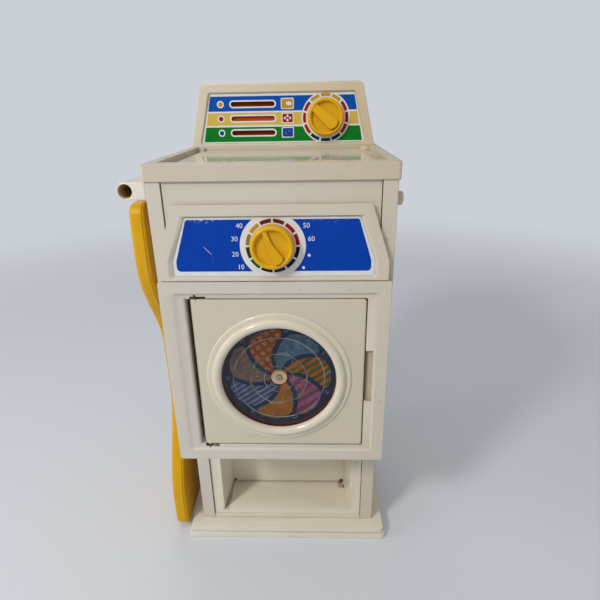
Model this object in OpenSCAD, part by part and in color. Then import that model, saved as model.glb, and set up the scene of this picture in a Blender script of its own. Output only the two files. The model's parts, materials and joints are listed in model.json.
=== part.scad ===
// Toy washing machine: a lidded wash tub and a console on top, a timer dial and
// a round-windowed dryer door in front, an open bin below and an ironing board
// that hangs from a rail on the left side.
// Millimetres, +Z up. The origin is the centre of the footprint on the floor,
// and the front faces -Y.

/* [Cabinet] */
// Height of the side panels' top edge above the floor
cabinet_h = 504; // [470:1:620]
// Width across the side panels at the top
cabinet_w = 243.6; // [236:0.1:300]
// Depth from the front face to the back cover
cabinet_d = 240; // [215:1:300]
// How far each side leans inwards from top to foot
side_draft = 0.4; // [0:0.1:4]
// Thickness of the moulded walls
wall = 2.5; // [2:0.1:3.2]
// Width of the corner strips beside the control panel
pilaster_w = 14.5; // [10:0.5:18]

/* [Base and lower bin] */
// Width of the base
base_w = 278; // [262:1:340]
// Depth of the base
base_d = 205; // [190:1:260]
// Height of the base
base_h = 16; // [14:1:24]
// How far the lower front stands behind the upper front
setback = 55.5; // [45:0.5:60]
// Height of the overhang's underside
overhang_z = 179; // [150:1:190]
// Width of the flat strip around the lower bin's mouth
bin_frame_w = 14.8; // [10:0.1:18]
// Width of the side panels' strip beside that frame
post_w = 16.4; // [12:0.1:20]
// Depth of the lower bin
bin_d = 57; // [45:1:80]

/* [Door] */
// How far the door frame stands proud of the cabinet
frame_proud = 9; // [8:0.5:12]
// Width of the door frame's flat border
frame_border = 13; // [10:0.5:16]
// Width from the frame's border to the door
frame_step_w = 14.5; // [12:0.5:18]
// Height of the control panel above the door frame
panel_h = 98.6; // [95:0.1:120]
// Gap between the door and its frame
door_gap = 1.2; // [1:0.1:2]
// Wider gap beside the door's round hinge edge
hinge_gap = 3.8; // [2:0.1:4.5]
// Depth of the dryer bin
dryer_d = 155; // [120:1:190]
// Radius of the door window
window_r = 63.7; // [50:0.1:66]
// Width of the window's rounded rim
rim_w = 10.6; // [8:0.1:11]
// Height of the window's centre below the door's centre
window_drop = 3.5; // [0:0.5:6]

/* [Tray, lid and tub] */
// Height of the top tray
tray_h = 16.5; // [13:0.5:20]
// Width of the tray's raised border
tray_rim = 10.5; // [6:0.5:12]
// Depth of that border in front of the lid
tray_front = 19; // [10:0.5:24]
// Gap between the back edge of the lid and the console
lid_gap = 4; // [3:0.5:12]
// Depth of the wash tub
tub_h = 82; // [50:1:84]
// Thickness of the lid
lid_t = 3.2; // [3:0.1:4]

/* [Console] */
// Height of the console above the tray
console_h = 78; // [76:1:96]
// Half the width lost from the console's foot to its top
console_taper = 16.5; // [10:0.5:20]
// Lean of the console's face in degrees
console_lean = 5; // [2:0.5:8]
// Depth of the console at its foot
console_d = 42; // [38:1:50]
// Distance between the indicator slots
slot_pitch = 17.65; // [14:0.05:17.9]
// Length of an indicator slot
slot_l = 57.6; // [40:0.1:60]
// Height of an indicator slot
slot_w = 6.2; // [4:0.1:7]

/* [Dials] */
// Radius of the upper dial
cycle_r = 23.5; // [18:0.1:25]
// Radius of the lower dial
timer_r = 22.2; // [18:0.1:23]
// Radius of the dial shafts
shaft_r = 4; // [3:0.1:5]
// Teeth on the pinion behind the upper dial
pinion_teeth = 12; // [10:1:16]

/* [Rail and ironing board] */
// Height of the side rail
rail_h = 17; // [16:0.1:22]
// Reach of the side rail beyond the cabinet
rail_w = 28.6; // [27:0.1:40]
// Radius of the open bore in the rail's front end
bore_r = 6.65; // [5:0.05:7]
// Length of that bore
bore_l = 70; // [40:1:80]
// Length of the ironing board
board_l = 467; // [380:1:475]
// Half width of the board near its upper end
board_top_w = 81; // [60:1:90]
// Half width of the board at its waist
board_waist_w = 27.5; // [24:0.5:40]
// Half width of the board at its lower end
board_foot_w = 75; // [60:1:90]
// Thickness of the board
board_t = 18; // [14:0.5:20]
// Radius of the board's hinge pin
hinge_pin_r = 3; // [2:0.1:4]

/* [Clearances] */
// Gap between fixed pieces that lie side by side
seam = 0.3; // [0.2:0.05:0.6]
// Radial clearance of a pin or shaft that turns
running = 0.06; // [0.03:0.01:0.1]
// Gap between pieces that move past each other
free_gap = 0.5; // [0.3:0.05:0.8]

/* [Hidden] */
$fn = 64;

// Colours
cream = [0.87, 0.83, 0.74];
door_cream = [0.84, 0.8, 0.68];
label_blue = [0.03, 0.16, 0.6];
knob_yellow = [0.95, 0.72, 0.05];
board_yellow = [0.95, 0.74, 0.03];
maroon = [0.4, 0.05, 0.08];
orange_red = [0.85, 0.2, 0.1];
steel = [0.7, 0.7, 0.72];

// Planes of the cabinet
y_back = base_d / 2;
y_front = y_back - cabinet_d;
y_post = y_front + setback;
half_top = cabinet_w / 2;
half_foot = half_top - side_draft;
function side_x(z) = half_foot + side_draft * (z - base_h) / (cabinet_h - base_h);
eps = 0.01;

// Door frame and door
frame_z0 = overhang_z;
frame_z1 = cabinet_h - panel_h;
frame_half = half_top - 1.8;
y_frame = y_front - frame_proud;
frame_recess = 2.5;
frame_slope = 2.4;
opening_x0 = -(frame_half - frame_border - frame_step_w + 1.5);
opening_x1 = frame_half - frame_border - 10.5;
opening_z0 = frame_z0 + frame_border + 6.5;
opening_z1 = frame_z1 - frame_border - 6.5;
y_door = y_frame + 3;
door_plate = 3;
door_x0 = opening_x0 + hinge_gap;
door_x1 = opening_x1 - door_gap;
door_z0 = opening_z0 + door_gap;
door_z1 = opening_z1 - door_gap;
door_depth = 14;
door_pin_r = 2.4;
hinge_round = 2.6;
edge_r = 6.5;
hinge_x = door_x0 + 6.8;
hinge_y = y_door + 1.8;
window_side = 1.3;
window_x = (door_x0 + door_x1) / 2 - window_side;
window_z = (door_z0 + door_z1) / 2 - window_drop;

// Lower bin
bin_half = half_foot - post_w;
bin_mouth = bin_half - bin_frame_w;
bin_taper = 5;
sill_h = 6;
bin_floor_z = base_h + 14;
y_bin = y_post + 2.5;

// Tray, lid and tub
tray_half = half_top + 2.2;
y_tray = y_front - 1;
tray_z1 = cabinet_h + tray_h;
deck_z = tray_z1 - 8.5;
lid_z0 = tray_z1 - 3.5 - lid_t;
groove_left = 10;
groove_right = 12.5;
well_x0 = -tray_half + tray_rim;
well_x1 = tray_half - tray_rim;
lid_x0 = well_x0 + groove_left;
lid_x1 = well_x1 - groove_right;
y_well = y_tray + tray_front;
y_console = y_back - console_d;
y_lid0 = y_well + 1;
y_lid1 = y_console - lid_gap;
lid_axis_y = y_lid1 - lid_t / 2;
lid_axis_z = lid_z0 + lid_t / 2;
lid_pin_r = 1.2;
pin_hole = 5;
ear_d = 10;
step_top = deck_z + 3;
scoop_x = lid_x1 + 6;
scoop_y = y_well + 108;
tub_margin = 9;
tub_x0 = lid_x0 + tub_margin;
tub_x1 = lid_x1 - tub_margin;
tub_y0 = y_lid0 + tub_margin;
tub_y1 = y_lid1 - tub_margin - 4;
tub_corner = 18;

// Console, drawn in a frame that leans with its face: x across, -y out of the
// face and z up the face from the tray
console_foot = half_top - 1.3;
console_top = console_foot - console_taper;
console_recess = 3.5;
console_slope = 1.5;
face_t = 6;
recess_side = 10.5;
recess_x0 = 3;
recess_top = 11;
slot_z = console_h / 2 - 3.9;
slot_x = -38.4;
cycle_x = 56.5;
label_t = 1;

// Rack and pinion: a quarter turn of the dial moves the band by one slot pitch
pinion_r = slot_pitch * 2 / PI;
gear_m = 2 * pinion_r / pinion_teeth;
pressure = 25;
backlash = 0.3;
band_h = 9;
band_t = 2;
band_y = face_t + 0.4;
rack_y = band_y;
rack_t = 6;
rod_r = 2;
rod_y = band_y + 4.6;
sleeve_r = 4.2;
sleeve_l = 14;
rod_x0 = slot_x - slot_l / 2 - 11;
rack_x = cycle_x - pinion_r;
rod_x1 = rack_x - 13;

// Timer housing, drawn in the same way on its own sloping face
panel_set = 1.5;
housing_h = 76;
housing_lip = 3;
housing_lean = atan((frame_proud - housing_lip) / housing_h);
y_panel = y_front + panel_set;
housing_z0 = frame_z1 + 0.6;
timer_z = 35.4;
housing_foot = frame_half - 4;
housing_top = housing_foot - 18;
housing_knee = 20;
timer_recess = 3.5;
timer_low = 2.2;
timer_high = 65.5;
timer_slope = [4.5, 1, 2];
timer_boss = 6;
spring_seat = timer_recess + wall + 3.5;
wheel_y = timer_recess + wall + timer_boss + free_gap;
notches = 12;
wheel_r = 15;

// Rail and ironing board
rail_z = cabinet_h - rail_h / 2;
rail_x = -(half_top + rail_w - rail_h / 2);
board_y = -17.5;
knuckle_l = 49;
board_x0 = rail_x - board_t;
board_z1 = cabinet_h - 29;
board_z0 = board_z1 - board_l;
corner_r = 14;

// ---------------------------------------------------------------- helpers

// A 2D profile in (x, z) made into a plate from y0 to y1
module plate_xz(y0, y1) {
  translate([0, y1, 0]) rotate([90, 0, 0]) linear_extrude(y1 - y0) children();
}

// A 2D profile in (y, z) made into a bar from x0 to x1
module bar_yz(x0, x1) {
  translate([x0, 0, 0]) rotate([90, 0, 90]) linear_extrude(x1 - x0) children();
}

// A box between two corners
module span(a, b) {
  translate(a) cube(b - a);
}

// A rectangle from a to b with round corners
module round_rect(a, b, r) {
  translate([a.x + r, a.y]) square([b.x - a.x - 2 * r, b.y - a.y]);
  translate([a.x, a.y + r]) square([b.x - a.x, b.y - a.y - 2 * r]);
  for (x = [a.x + r, b.x - r], y = [a.y + r, b.y - r]) translate([x, y]) circle(r);
}

function unit(v) = v / norm(v);

// A convex outline with an arc of its own radius at each corner
module round_poly(pts, radii) {
  n = len(pts);
  back = [for (i = [0:n - 1]) unit(pts[(i + n - 1) % n] - pts[i])];
  ahead = [for (i = [0:n - 1]) unit(pts[(i + 1) % n] - pts[i])];
  half = [for (i = [0:n - 1]) acos(back[i] * ahead[i]) / 2];
  run = [for (i = [0:n - 1]) radii[i] / tan(half[i])];
  polygon([for (i = [0:n - 1], e = [back[i], ahead[i]]) pts[i] + e * run[i]]);
  for (i = [0:n - 1]) {
    if (radii[i] > 0) {
      translate(pts[i] + unit(back[i] + ahead[i]) * radii[i] / sin(half[i])) circle(radii[i]);
    }
  }
}

// Points of an arc in the corner at b, between its neighbours a and c
function corner(a, b, c, r) = let (u = unit(a - b), v = unit(c - b), h = acos(u * v) / 2,
    o = b + unit(u + v) * r / sin(h), p = b + u * r / tan(h) - o, q = b + v * r / tan(h) - o)
  [for (i = [0:3]) o + unit(p * (3 - i) + q * i) * r];

// Closed outline in (x, z) from the corners of its right half, from the lowest up
function mirrored(half, r) = let (last = len(half) - 1,
    side = [for (i = [0:last]) each corner(i == 0 ? [-half[0].x, half[0].y] : half[i - 1], half[i],
                                           i == last ? [-half[i].x, half[i].y] : half[i + 1], r)])
  concat(side, [for (i = [len(side) - 1:-1:0]) [-side[i].x, side[i].y]]);

// That outline at a depth y, as a ring in space
function ring_at(y, half, r) = [for (p = mirrored(half, r)) [p.x, y, p.y]];

// Children drawn on the console's leaning face
module on_console() {
  translate([0, y_console, tray_z1]) rotate([-console_lean, 0, 0]) children();
}

// Children drawn on the timer housing's sloping face
module on_housing() {
  translate([0, y_frame, housing_z0]) rotate([-housing_lean, 0, 0]) children();
}

// Children turned so that their z axis points out of a front face
module outwards() {
  rotate([90, 0, 0]) children();
}

// A countersunk screw whose head lies at the origin and whose shank runs down -z
module screw(head_r, shank_r, length) {
  difference() {
    union() {
      cylinder(r1 = head_r, r2 = head_r * 0.8, h = 1.6);
      translate([0, 0, -length]) cylinder(r = shank_r, h = length + eps);
    }
    for (a = [0, 90]) {
      rotate(a) translate([-head_r * 0.6, -0.4, 0.9]) cube([head_r * 1.2, 0.8, 1]);
    }
  }
}

// ---------------------------------------------------------------- base

step_in = 2.5;
screw_r = 1.5;
base_screw_at = [for (x = [-1, 1], y = [-70, 0, 70]) [x * (half_foot - 9), y]];

// Stacked mouldings: a foot, a groove and a flat deck that the cabinet stands on
module base_plinth() {
  foot_h = 7.5;
  groove_h = 1;
  pocket_x = half_foot - 18;
  color(cream) difference() {
    union() {
      linear_extrude(foot_h) round_rect([-base_w, -base_d] / 2, [base_w, base_d] / 2, 5);
      linear_extrude(base_h - 2)
        round_rect([-base_w / 2 + 1.6 * step_in, -base_d / 2 + 1.6 * step_in],
                   [base_w / 2 - 1.6 * step_in, base_d / 2 - 1.6 * step_in], 4);
      translate([0, 0, foot_h + groove_h]) linear_extrude(base_h - foot_h - groove_h)
        round_rect([-base_w / 2 + step_in, -base_d / 2 + step_in],
                   [base_w / 2 - step_in, base_d / 2 - step_in], 5);
    }
    // Hollow between stiffening ribs, open upwards inside the cabinet
    difference() {
      translate([0, 0, wall]) linear_extrude(base_h)
        round_rect([-pocket_x, y_post + 8], [pocket_x, base_d / 2 - 12], 6);
      for (x = [-pocket_x / 3, pocket_x / 3]) span([x - 1, -base_d, 0], [x + 1, base_d, base_h - 3]);
      span([-pocket_x - 1, -1, 0], [pocket_x + 1, 1, base_h - 3]);
    }
    for (p = base_screw_at) {
      translate([p.x, p.y, -eps]) cylinder(r = screw_r + seam, h = base_h + 1);
      translate([p.x, p.y, -eps]) cylinder(r = 4, h = 6);
    }
  }
}

module base_screws() {
  color(steel) for (p = base_screw_at) {
    translate([p.x, p.y, 6 - seam]) rotate([180, 0, 0]) screw(3.4, screw_r, base_h + 6);
  }
}

// ---------------------------------------------------------------- cabinet

cover_half = half_foot - wall - seam - 1;
cover_screw_at = [for (x = [-1, 1], z = [base_h + 20, cabinet_h / 2, cabinet_h - 20]) [x * (cover_half - 6), z]];

// One side of the cabinet, drawn for +X: a leaning wall with a corner strip in
// front, a narrower one beside the lower bin, a rear ledge and stiffening ribs
module side_panel() {
  inner = half_top - pilaster_w;
  difference() {
    plate_xz(y_front, y_back)
      polygon([[half_foot - wall, base_h], [half_foot, base_h], [half_top, cabinet_h], [half_top - wall, cabinet_h]]);
    span([0, y_front - 1, base_h - 1], [half_top + 1, y_post, overhang_z]);
  }
  plate_xz(y_front, y_front + wall)
    polygon([[inner, overhang_z], [side_x(overhang_z), overhang_z], [half_top, cabinet_h], [inner, cabinet_h]]);
  plate_xz(y_post, y_post + wall)
    polygon([[bin_half + seam, base_h], [half_foot, base_h],
             [side_x(overhang_z), overhang_z], [bin_half + seam, overhang_z]]);
  // Ledge that the back cover is screwed to
  difference() {
    plate_xz(y_back - 2 * wall - seam, y_back - wall - seam)
      polygon([[cover_half - 12, base_h], [half_foot - wall / 2, base_h],
               [half_top - wall / 2, cabinet_h], [cover_half - 12, cabinet_h]]);
    for (p = cover_screw_at) {
      if (p.x > 0) translate([p.x, y_back, p.y]) outwards() cylinder(r = screw_r + seam, h = 20);
    }
  }
  // Foot ledge that the base screws hold
  difference() {
    span([bin_half + seam, y_post + wall, base_h], [half_foot - wall / 2, y_back - 2 * wall, base_h + 6]);
    for (p = base_screw_at) {
      if (p.x > 0) translate([p.x, p.y, base_h - 1]) cylinder(r = screw_r, h = 8);
    }
  }
  for (z = [overhang_z + 12, (overhang_z + cabinet_h) / 2, cabinet_h - 24]) {
    span([side_x(z) - wall - 6, y_front + wall, z], [side_x(z) - wall / 2, y_back - 2 * wall - seam, z + 2]);
  }
}

module side_panel_right() {
  color(cream) side_panel();
}

module side_panel_left() {
  color(cream) mirror([1, 0, 0]) side_panel();
}

module back_cover() {
  color(cream) difference() {
    union() {
      plate_xz(y_back - wall, y_back)
        round_rect([-cover_half, base_h + seam], [cover_half, cabinet_h - seam], 3);
      // Two pressed stiffening ribs inside
      for (x = [-45, 45]) {
        plate_xz(y_back - wall - 5, y_back - wall + eps) translate([x - 1, base_h + 40]) square([2, cabinet_h - base_h - 80]);
      }
    }
    for (p = cover_screw_at) {
      translate([p.x, y_back + 1, p.y]) outwards() cylinder(r = screw_r + seam, h = 6);
    }
  }
}

module cover_screws() {
  color(steel) for (p = cover_screw_at) {
    translate([p.x, y_back, p.y]) rotate([-90, 0, 0]) screw(3, screw_r, 12);
  }
}

// Open box below the dryer: its flat front frame stands between the posts, on a sill
module lower_bin() {
  z1 = overhang_z - seam;
  y1 = y_bin + bin_d;
  color(cream) difference() {
    union() {
      plate_xz(y_bin, y_bin + wall) translate([-bin_half, base_h]) square([2 * bin_half, z1 - base_h]);
      linear_extrude_at(bin_floor_z - wall, z1)
        polygon([[-bin_mouth - wall, y_bin], [bin_mouth + wall, y_bin],
                 [bin_mouth + wall - bin_taper, y1], [-bin_mouth - wall + bin_taper, y1]]);
      span([-bin_half, y_post + seam, base_h], [bin_half, y_bin + wall, base_h + sill_h]);
    }
    linear_extrude_at(bin_floor_z, z1 - wall)
      polygon([[-bin_mouth, y_bin + wall], [bin_mouth, y_bin + wall],
               [bin_mouth - bin_taper, y1 - wall], [-bin_mouth + bin_taper, y1 - wall]]);
    plate_xz(y_bin - 2, y_bin + wall + 1)
      translate([-bin_mouth, bin_floor_z]) square([2 * bin_mouth, z1 - wall - bin_floor_z]);
  }
}

// Ribbed pan that closes the overhang from below
module belly_pan() {
  half = side_x(overhang_z) - wall - seam;
  y0 = y_front + wall + seam;
  y1 = y_post - seam;
  color(cream) difference() {
    span([-half, y0, overhang_z], [half, y1, overhang_z + 6]);
    for (i = [0:5]) {
      w = (2 * half - 7 * wall) / 6;
      x = -half + wall + i * (w + wall);
      span([x, y0 + wall, overhang_z + wall], [x + w, y1 - wall, overhang_z + 7]);
    }
  }
}

// ---------------------------------------------------------------- door frame and dryer

// Right half of the step's outline; k runs from its upper edge to its foot
function step_half(k) = let (g = frame_border + k * frame_slope)
  [[frame_half - g, frame_z0 + g], [frame_half - g, frame_z1 - g]];

module door_frame() {
  notch_z = (opening_z0 + opening_z1) / 2;
  back = y_front - seam;
  color(cream) difference() {
    plate_xz(y_frame, back) round_rect([-frame_half, frame_z0], [frame_half, frame_z1 - seam], 3);
    // Step around the door, with sloping sides
    loft([ring_at(y_frame + frame_recess, step_half(1), 2),
          ring_at(y_frame - frame_recess, step_half(-1), 2)]);
    plate_xz(y_frame - 1, back + 1)
      round_rect([opening_x0, opening_z0], [opening_x1, opening_z1], 2);
    // Round edge beside the door's hinge
    linear_extrude_at(opening_z0, opening_z1) difference() {
      translate([opening_x0 - hinge_round, y_frame + frame_recess - 1]) square([hinge_round + 1, hinge_round + 1]);
      translate([opening_x0 - hinge_round, y_frame + frame_recess + hinge_round]) circle(hinge_round);
    }
    // Finger notch beside the door
    plate_xz(y_frame - 1, y_frame + 7)
      translate([opening_x1 - 1, notch_z - 32]) square([frame_half - frame_border - frame_slope - opening_x1 + 1, 64]);
    // Hinge slots above and below the door, and the holes that the pins turn in
    for (z = [opening_z0, opening_z1]) {
      plate_xz(y_frame - 1, hinge_y - 0.8) translate([hinge_x - 5, z - 2]) square([16, 4]);
      translate([hinge_x, hinge_y, z - 5]) cylinder(r = door_pin_r + running, h = 10);
    }
    // Hollow behind the border
    plate_xz(y_frame + frame_recess + wall, back + 1) difference() {
      round_rect([-frame_half + wall, frame_z0 + wall], [frame_half - wall, frame_z1 - wall - seam], 2);
      round_rect([opening_x0 - 7, opening_z0 - 7], [opening_x1 + 10.5, opening_z1 + 7], 2);
    }
  }
}

// Liner behind the door: a box with round corners, open to the front
module dryer_bin() {
  y0 = y_front;
  y1 = y_front + dryer_d;
  color(cream) difference() {
    union() {
      plate_xz(y0, y1) round_rect([opening_x0 - wall, opening_z0 - wall], [opening_x1 + wall, opening_z1 + wall], 10);
      plate_xz(y0, y0 + wall) round_rect([opening_x0 - 8, opening_z0 - 8], [opening_x1 + 8, opening_z1 + 8], 4);
    }
    plate_xz(y0 - 1, y1 - wall) round_rect([opening_x0, opening_z0], [opening_x1, opening_z1], 7.5);
  }
}

// ---------------------------------------------------------------- door

module door_panel() {
  color(door_cream) {
    difference() {
      union() {
        plate_xz(y_door, y_door + door_plate) round_rect([door_x0 + 3, door_z0], [door_x1, door_z1], 3.5);
        // Round hinge edge
        linear_extrude_at(door_z0, door_z1) {
          intersection() {
            translate([door_x0 + edge_r, y_door + edge_r]) circle(edge_r);
            translate([door_x0, y_door]) square(edge_r);
          }
          translate([door_x0 + edge_r, y_door]) square([hinge_x + 5 + wall - door_x0 - edge_r, edge_r + 1]);
          translate([door_x0, y_door + edge_r]) square([edge_r + 1, 1]);
        }
        plate_xz(y_door, y_door + door_depth)
          round_rect([hinge_x + 5, door_z0 + 3], [door_x1 - 4, door_z1 - 3], 5);
      }
      plate_xz(y_door + door_plate, y_door + door_depth + 1)
        round_rect([hinge_x + 5 + wall, door_z0 + 3 + wall], [door_x1 - 4 - wall, door_z1 - 3 - wall], 3);
      translate([window_x, y_door - 1, window_z]) rotate([-90, 0, 0])
        cylinder(r = window_r + 4.3, h = door_plate + 2, $fn = 96);
    }
    // Hinge pins moulded on the corners
    for (s = [[door_z0, -1], [door_z1, 1]]) {
      translate([hinge_x, hinge_y, s[0] + s[1] * 2.2]) cylinder(r = door_pin_r, h = 6.4, center = true);
    }
  }
}

module door_back() {
  color(door_cream) difference() {
    plate_xz(y_door + door_depth, y_door + door_depth + wall)
      round_rect([hinge_x + 5, door_z0 + 3], [door_x1 - 4, door_z1 - 3], 5);
    // Pull hollow at the free edge
    translate([door_x1 - 4, y_door + door_depth - 1, (door_z0 + door_z1) / 2]) rotate([-90, 0, 0])
      cylinder(r = 9, h = wall + 2);
  }
}

// Ring sections are drawn with x as the radius and y as the height above the door's face
module window_ring() {
  translate([window_x, y_door, window_z]) outwards() rotate_extrude($fn = 96) children();
}

module window_rim() {
  r0 = window_r;
  r1 = window_r + rim_w;
  r2 = r1 + 5.7;
  color(door_cream) window_ring() {
    // Rounded main rim, stepped outer ring and the collar behind them
    intersection() {
      translate([r0 + rim_w / 2, 1.5]) circle(rim_w / 2);
      translate([r0, 0]) square([rim_w, rim_w]);
    }
    translate([r1 - 2, 0]) square([r2 - r1 + 0.5, 2]);
    translate([r2 - 1.5, 0]) intersection() {
      square([2, 2]);
      circle(2);
    }
    translate([r0 + 2.3, -5]) square([1.8, 5.2]);
  }
}

module window_pane() {
  color([0.8, 0.9, 0.95], 0.35) window_ring() {
    hole = 10.6;
    translate([hole, -1.9]) square([window_r + 2 - hole, 1.6]);
    for (k = [0.26, 0.49, 0.8]) translate([window_r * k, -0.5]) circle(0.55);
  }
}

cup_pin_r = 3;

// Shallow maroon cup behind the pane, with the pin that the picture disc turns on
module drum_cup() {
  color(maroon) difference() {
    window_ring() {
      translate([window_r - 0.3, -door_depth + seam]) square([2.2, door_depth - 2.4 - seam]);
      translate([0, -door_depth + seam]) square([window_r + 1, 2]);
      translate([0, -door_depth + seam]) square([cup_pin_r, door_depth - 5]);
    }
    translate([window_x, y_door, window_z]) outwards() translate([0, 0, -door_depth - 1])
      cylinder(r = 1.2, h = door_depth);
  }
}

module picture_disc() {
  color([0.1, 0.3, 0.55]) window_ring() {
    translate([7, -9.2]) square([window_r - 0.8 - 7, 1.4]);
  }
}

module disc_hub() {
  color([0.75, 0.6, 0.4]) window_ring() {
    translate([cup_pin_r + running, -9.2]) square([6.5 - cup_pin_r, 5.8]);
    translate([6, -7.7]) square([3, 4.3]);
  }
}

module hub_screw() {
  color(steel) translate([window_x, y_door, window_z]) outwards()
    translate([0, 0, -3.2]) screw(4, 1.2 - running, 8);
}

// ---------------------------------------------------------------- timer

// Outline of the timer housing on its face; grow moves every edge outwards
module housing_outline(grow, r) {
  round_poly([[housing_foot + grow, -grow], [housing_foot + grow, housing_knee],
              [housing_top + grow, housing_h + grow], [-housing_top - grow, housing_h + grow],
              [-housing_foot - grow, housing_knee], [-housing_foot - grow, -grow]], [r, r, r, r, r, r]);
}

// Right half of the outline of the recess in that face; k runs from its upper
// edge to its foot, and grow moves every edge outwards
function timer_half(k, grow) = let (foot = housing_foot - 9.5 - k * timer_slope.x + grow)
  [[foot, timer_low + k * timer_slope.z - grow], [foot, housing_knee],
   [foot - 15.5, timer_high - k * timer_slope.y + grow]];

module control_panel() {
  half = half_top - pilaster_w - 0.8;
  color(cream) difference() {
    union() {
      span([-half, y_panel, frame_z1 - 8], [half, y_panel + wall, cabinet_h - seam]);
      intersection() {
        plate_xz(y_frame - 1, y_front) translate([0, housing_z0]) housing_outline(0, 2);
        bar_yz(-housing_foot - 1, housing_foot + 1)
          polygon([[y_frame, housing_z0], [y_front - housing_lip, housing_z0 + housing_h],
                   [y_front + 1, housing_z0 + housing_h], [y_front + 1, housing_z0]]);
      }
      intersection() {
        plate_xz(y_front - 1, y_panel + 1) translate([0, housing_z0]) housing_outline(0, 2);
        plate_xz(y_front - 1, y_panel + 1) translate([-half, housing_z0]) square([2 * half, housing_h - 1]);
      }
      // Backing that carries the recess through the panel
      on_housing() loft([ring_at(timer_recess + wall, timer_half(0, wall - 3.5), 2), ring_at(2, timer_half(0, wall - 3.5), 2)]);
      on_housing() translate([0, timer_recess + wall, timer_z]) rotate([-90, 0, 0])
        cylinder(r = shaft_r + 3, h = timer_boss);
      // Seat of the detent spring
      on_housing() span([23, timer_recess + wall, timer_z + wheel_r + 1.5], [33, spring_seat, timer_z + wheel_r + 9.5]);
    }
    on_housing() {
      loft([ring_at(timer_recess, timer_half(1, 0), 2), ring_at(timer_recess - label_t, timer_half(1, 0), 2),
            ring_at(label_t - timer_recess, timer_half(-1, 0), 2)]);
      translate([0, -1, timer_z]) rotate([-90, 0, 0]) cylinder(r = shaft_r + running, h = 20);
    }
  }
}

module timer_label() {
  color(label_blue) on_housing() difference() {
    loft([ring_at(timer_recess, timer_half(1, -seam), 2), ring_at(timer_recess - label_t, timer_half(1, -seam), 2)]);
    translate([0, 0, timer_z]) rotate([-90, 0, 0]) cylinder(r = shaft_r + 1, h = 20);
  }
}

// A domed knob with a grip bar; angle turns the bar, socket_d is the shaft's depth in it
module knob(r, angle, tall, socket_d) {
  bar = 10;
  skirt = 5;
  difference() {
    rotate_extrude() {
      square([r - 1, tall - 3]);
      translate([0, 1]) square([r, tall - 8]);
      square([r - 4, tall - 1]);
      translate([r - 4, tall - 5]) intersection() {
        square(5);
        scale(4) circle(1);
      }
      square([r - 8, tall]);
    }
    rotate(angle) for (s = [-1, 1]) {
      translate([0, s * bar / 2, skirt]) rotate([s * -12, 0, 0])
        translate([-r - 1, s > 0 ? 0 : -r, 0]) cube([2 * r + 2, r, tall]);
    }
    translate([0, 0, -1]) cylinder(r = shaft_r + running, h = socket_d + 1);
  }
}

knob_lift = 0.6;

module timer_knob() {
  color(knob_yellow) on_housing() translate([0, timer_recess - label_t - knob_lift, timer_z])
    outwards() knob(timer_r, 113, 16, 11);
}

// Twelve-notch wheel on the timer's shaft
module timer_wheel() {
  color(knob_yellow) on_housing() translate([0, 0, timer_z]) rotate([-90, 0, 0]) {
    translate([0, 0, -6]) cylinder(r = shaft_r, h = wheel_y + 6 + 5);
    translate([0, 0, wheel_y]) difference() {
      cylinder(r = wheel_r, h = 4);
      for (i = [0:notches - 1]) rotate(i * 360 / notches)
        translate([0, wheel_r + 1, -1]) cylinder(r = 2.4, h = 6);
    }
  }
}

// Leaf spring whose round nose rests in a notch of the wheel
module detent_spring() {
  nose = 2;
  z = wheel_r + 1;
  color(cream) on_housing() translate([0, 0, timer_z]) {
    translate([0, wheel_y, z]) rotate([-90, 0, 0]) cylinder(r = nose, h = 4);
    span([-1, wheel_y, z], [1, wheel_y + 4, z + 4]);
    span([-1, wheel_y, z + 3], [28, wheel_y + 4, z + 4.6]);
    span([24, spring_seat, z + 1], [32, wheel_y + 4, z + 8]);
  }
}

// ---------------------------------------------------------------- tray, lid and tub

module top_tray() {
  color(cream) difference() {
    linear_extrude_at(cabinet_h, tray_z1) round_rect([-tray_half, y_tray], [tray_half, y_back], 3);
    // Well for the lid
    difference() {
      linear_extrude_at(deck_z, tray_z1 + 1)
        round_rect([well_x0, y_well], [well_x1, y_console], 2);
      // Coaming around the tub's mouth
      linear_extrude_at(deck_z - 1, lid_z0 - seam) difference() {
        round_rect([tub_x0 - 3, tub_y0 - 3], [tub_x1 + 3, tub_y1 + 3], tub_corner);
        round_rect([tub_x0, tub_y0], [tub_x1, tub_y1], tub_corner - 3);
      }
      // Ears that hold the lid's pins
      for (x = [[well_x0 - 1, lid_x0 - seam], [lid_x1 + seam, well_x1 + 1]]) {
        span([x[0], y_console - ear_d, deck_z - 1], [x[1], y_console + 1, tray_z1 - 1]);
      }
      // Raised step beside the lid, with a finger scoop
      linear_extrude_at(deck_z - 1, step_top) difference() {
        translate([lid_x1 + 1, y_well - 1]) square([well_x1 - lid_x1, y_console - ear_d - y_well]);
        round_rect([scoop_x, y_well - 10], [well_x1 + 10, scoop_y], 5);
      }
    }
    // Tub's mouth and the hollow under the deck
    linear_extrude_at(cabinet_h - 1, tray_z1) round_rect([tub_x0, tub_y0], [tub_x1, tub_y1], tub_corner - 3);
    difference() {
      linear_extrude_at(cabinet_h - 1, deck_z - wall)
        round_rect([-half_top + 3, y_front + 3], [half_top - 3, y_console - 3], 2);
      linear_extrude_at(cabinet_h - 2, tray_z1)
        round_rect([tub_x0 - 8, tub_y0 - 8], [tub_x1 + 8, tub_y1 + 8], tub_corner);
    }
    linear_extrude_at(cabinet_h - 1, tray_z1 + 1)
      round_rect([-console_top + 16, y_console + face_t], [console_top - 16, y_back - 8], 2);
    for (x = [lid_x0 - seam - pin_hole + 1, lid_x1 + seam - 1]) {
      translate([x, lid_axis_y, lid_axis_z]) rotate([0, 90, 0]) cylinder(r = lid_pin_r + running, h = pin_hole);
    }
    for (p = tub_screw_at) translate([p.x, p.y, cabinet_h - 1]) cylinder(r = screw_r, h = 5);
  }
}

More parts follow.
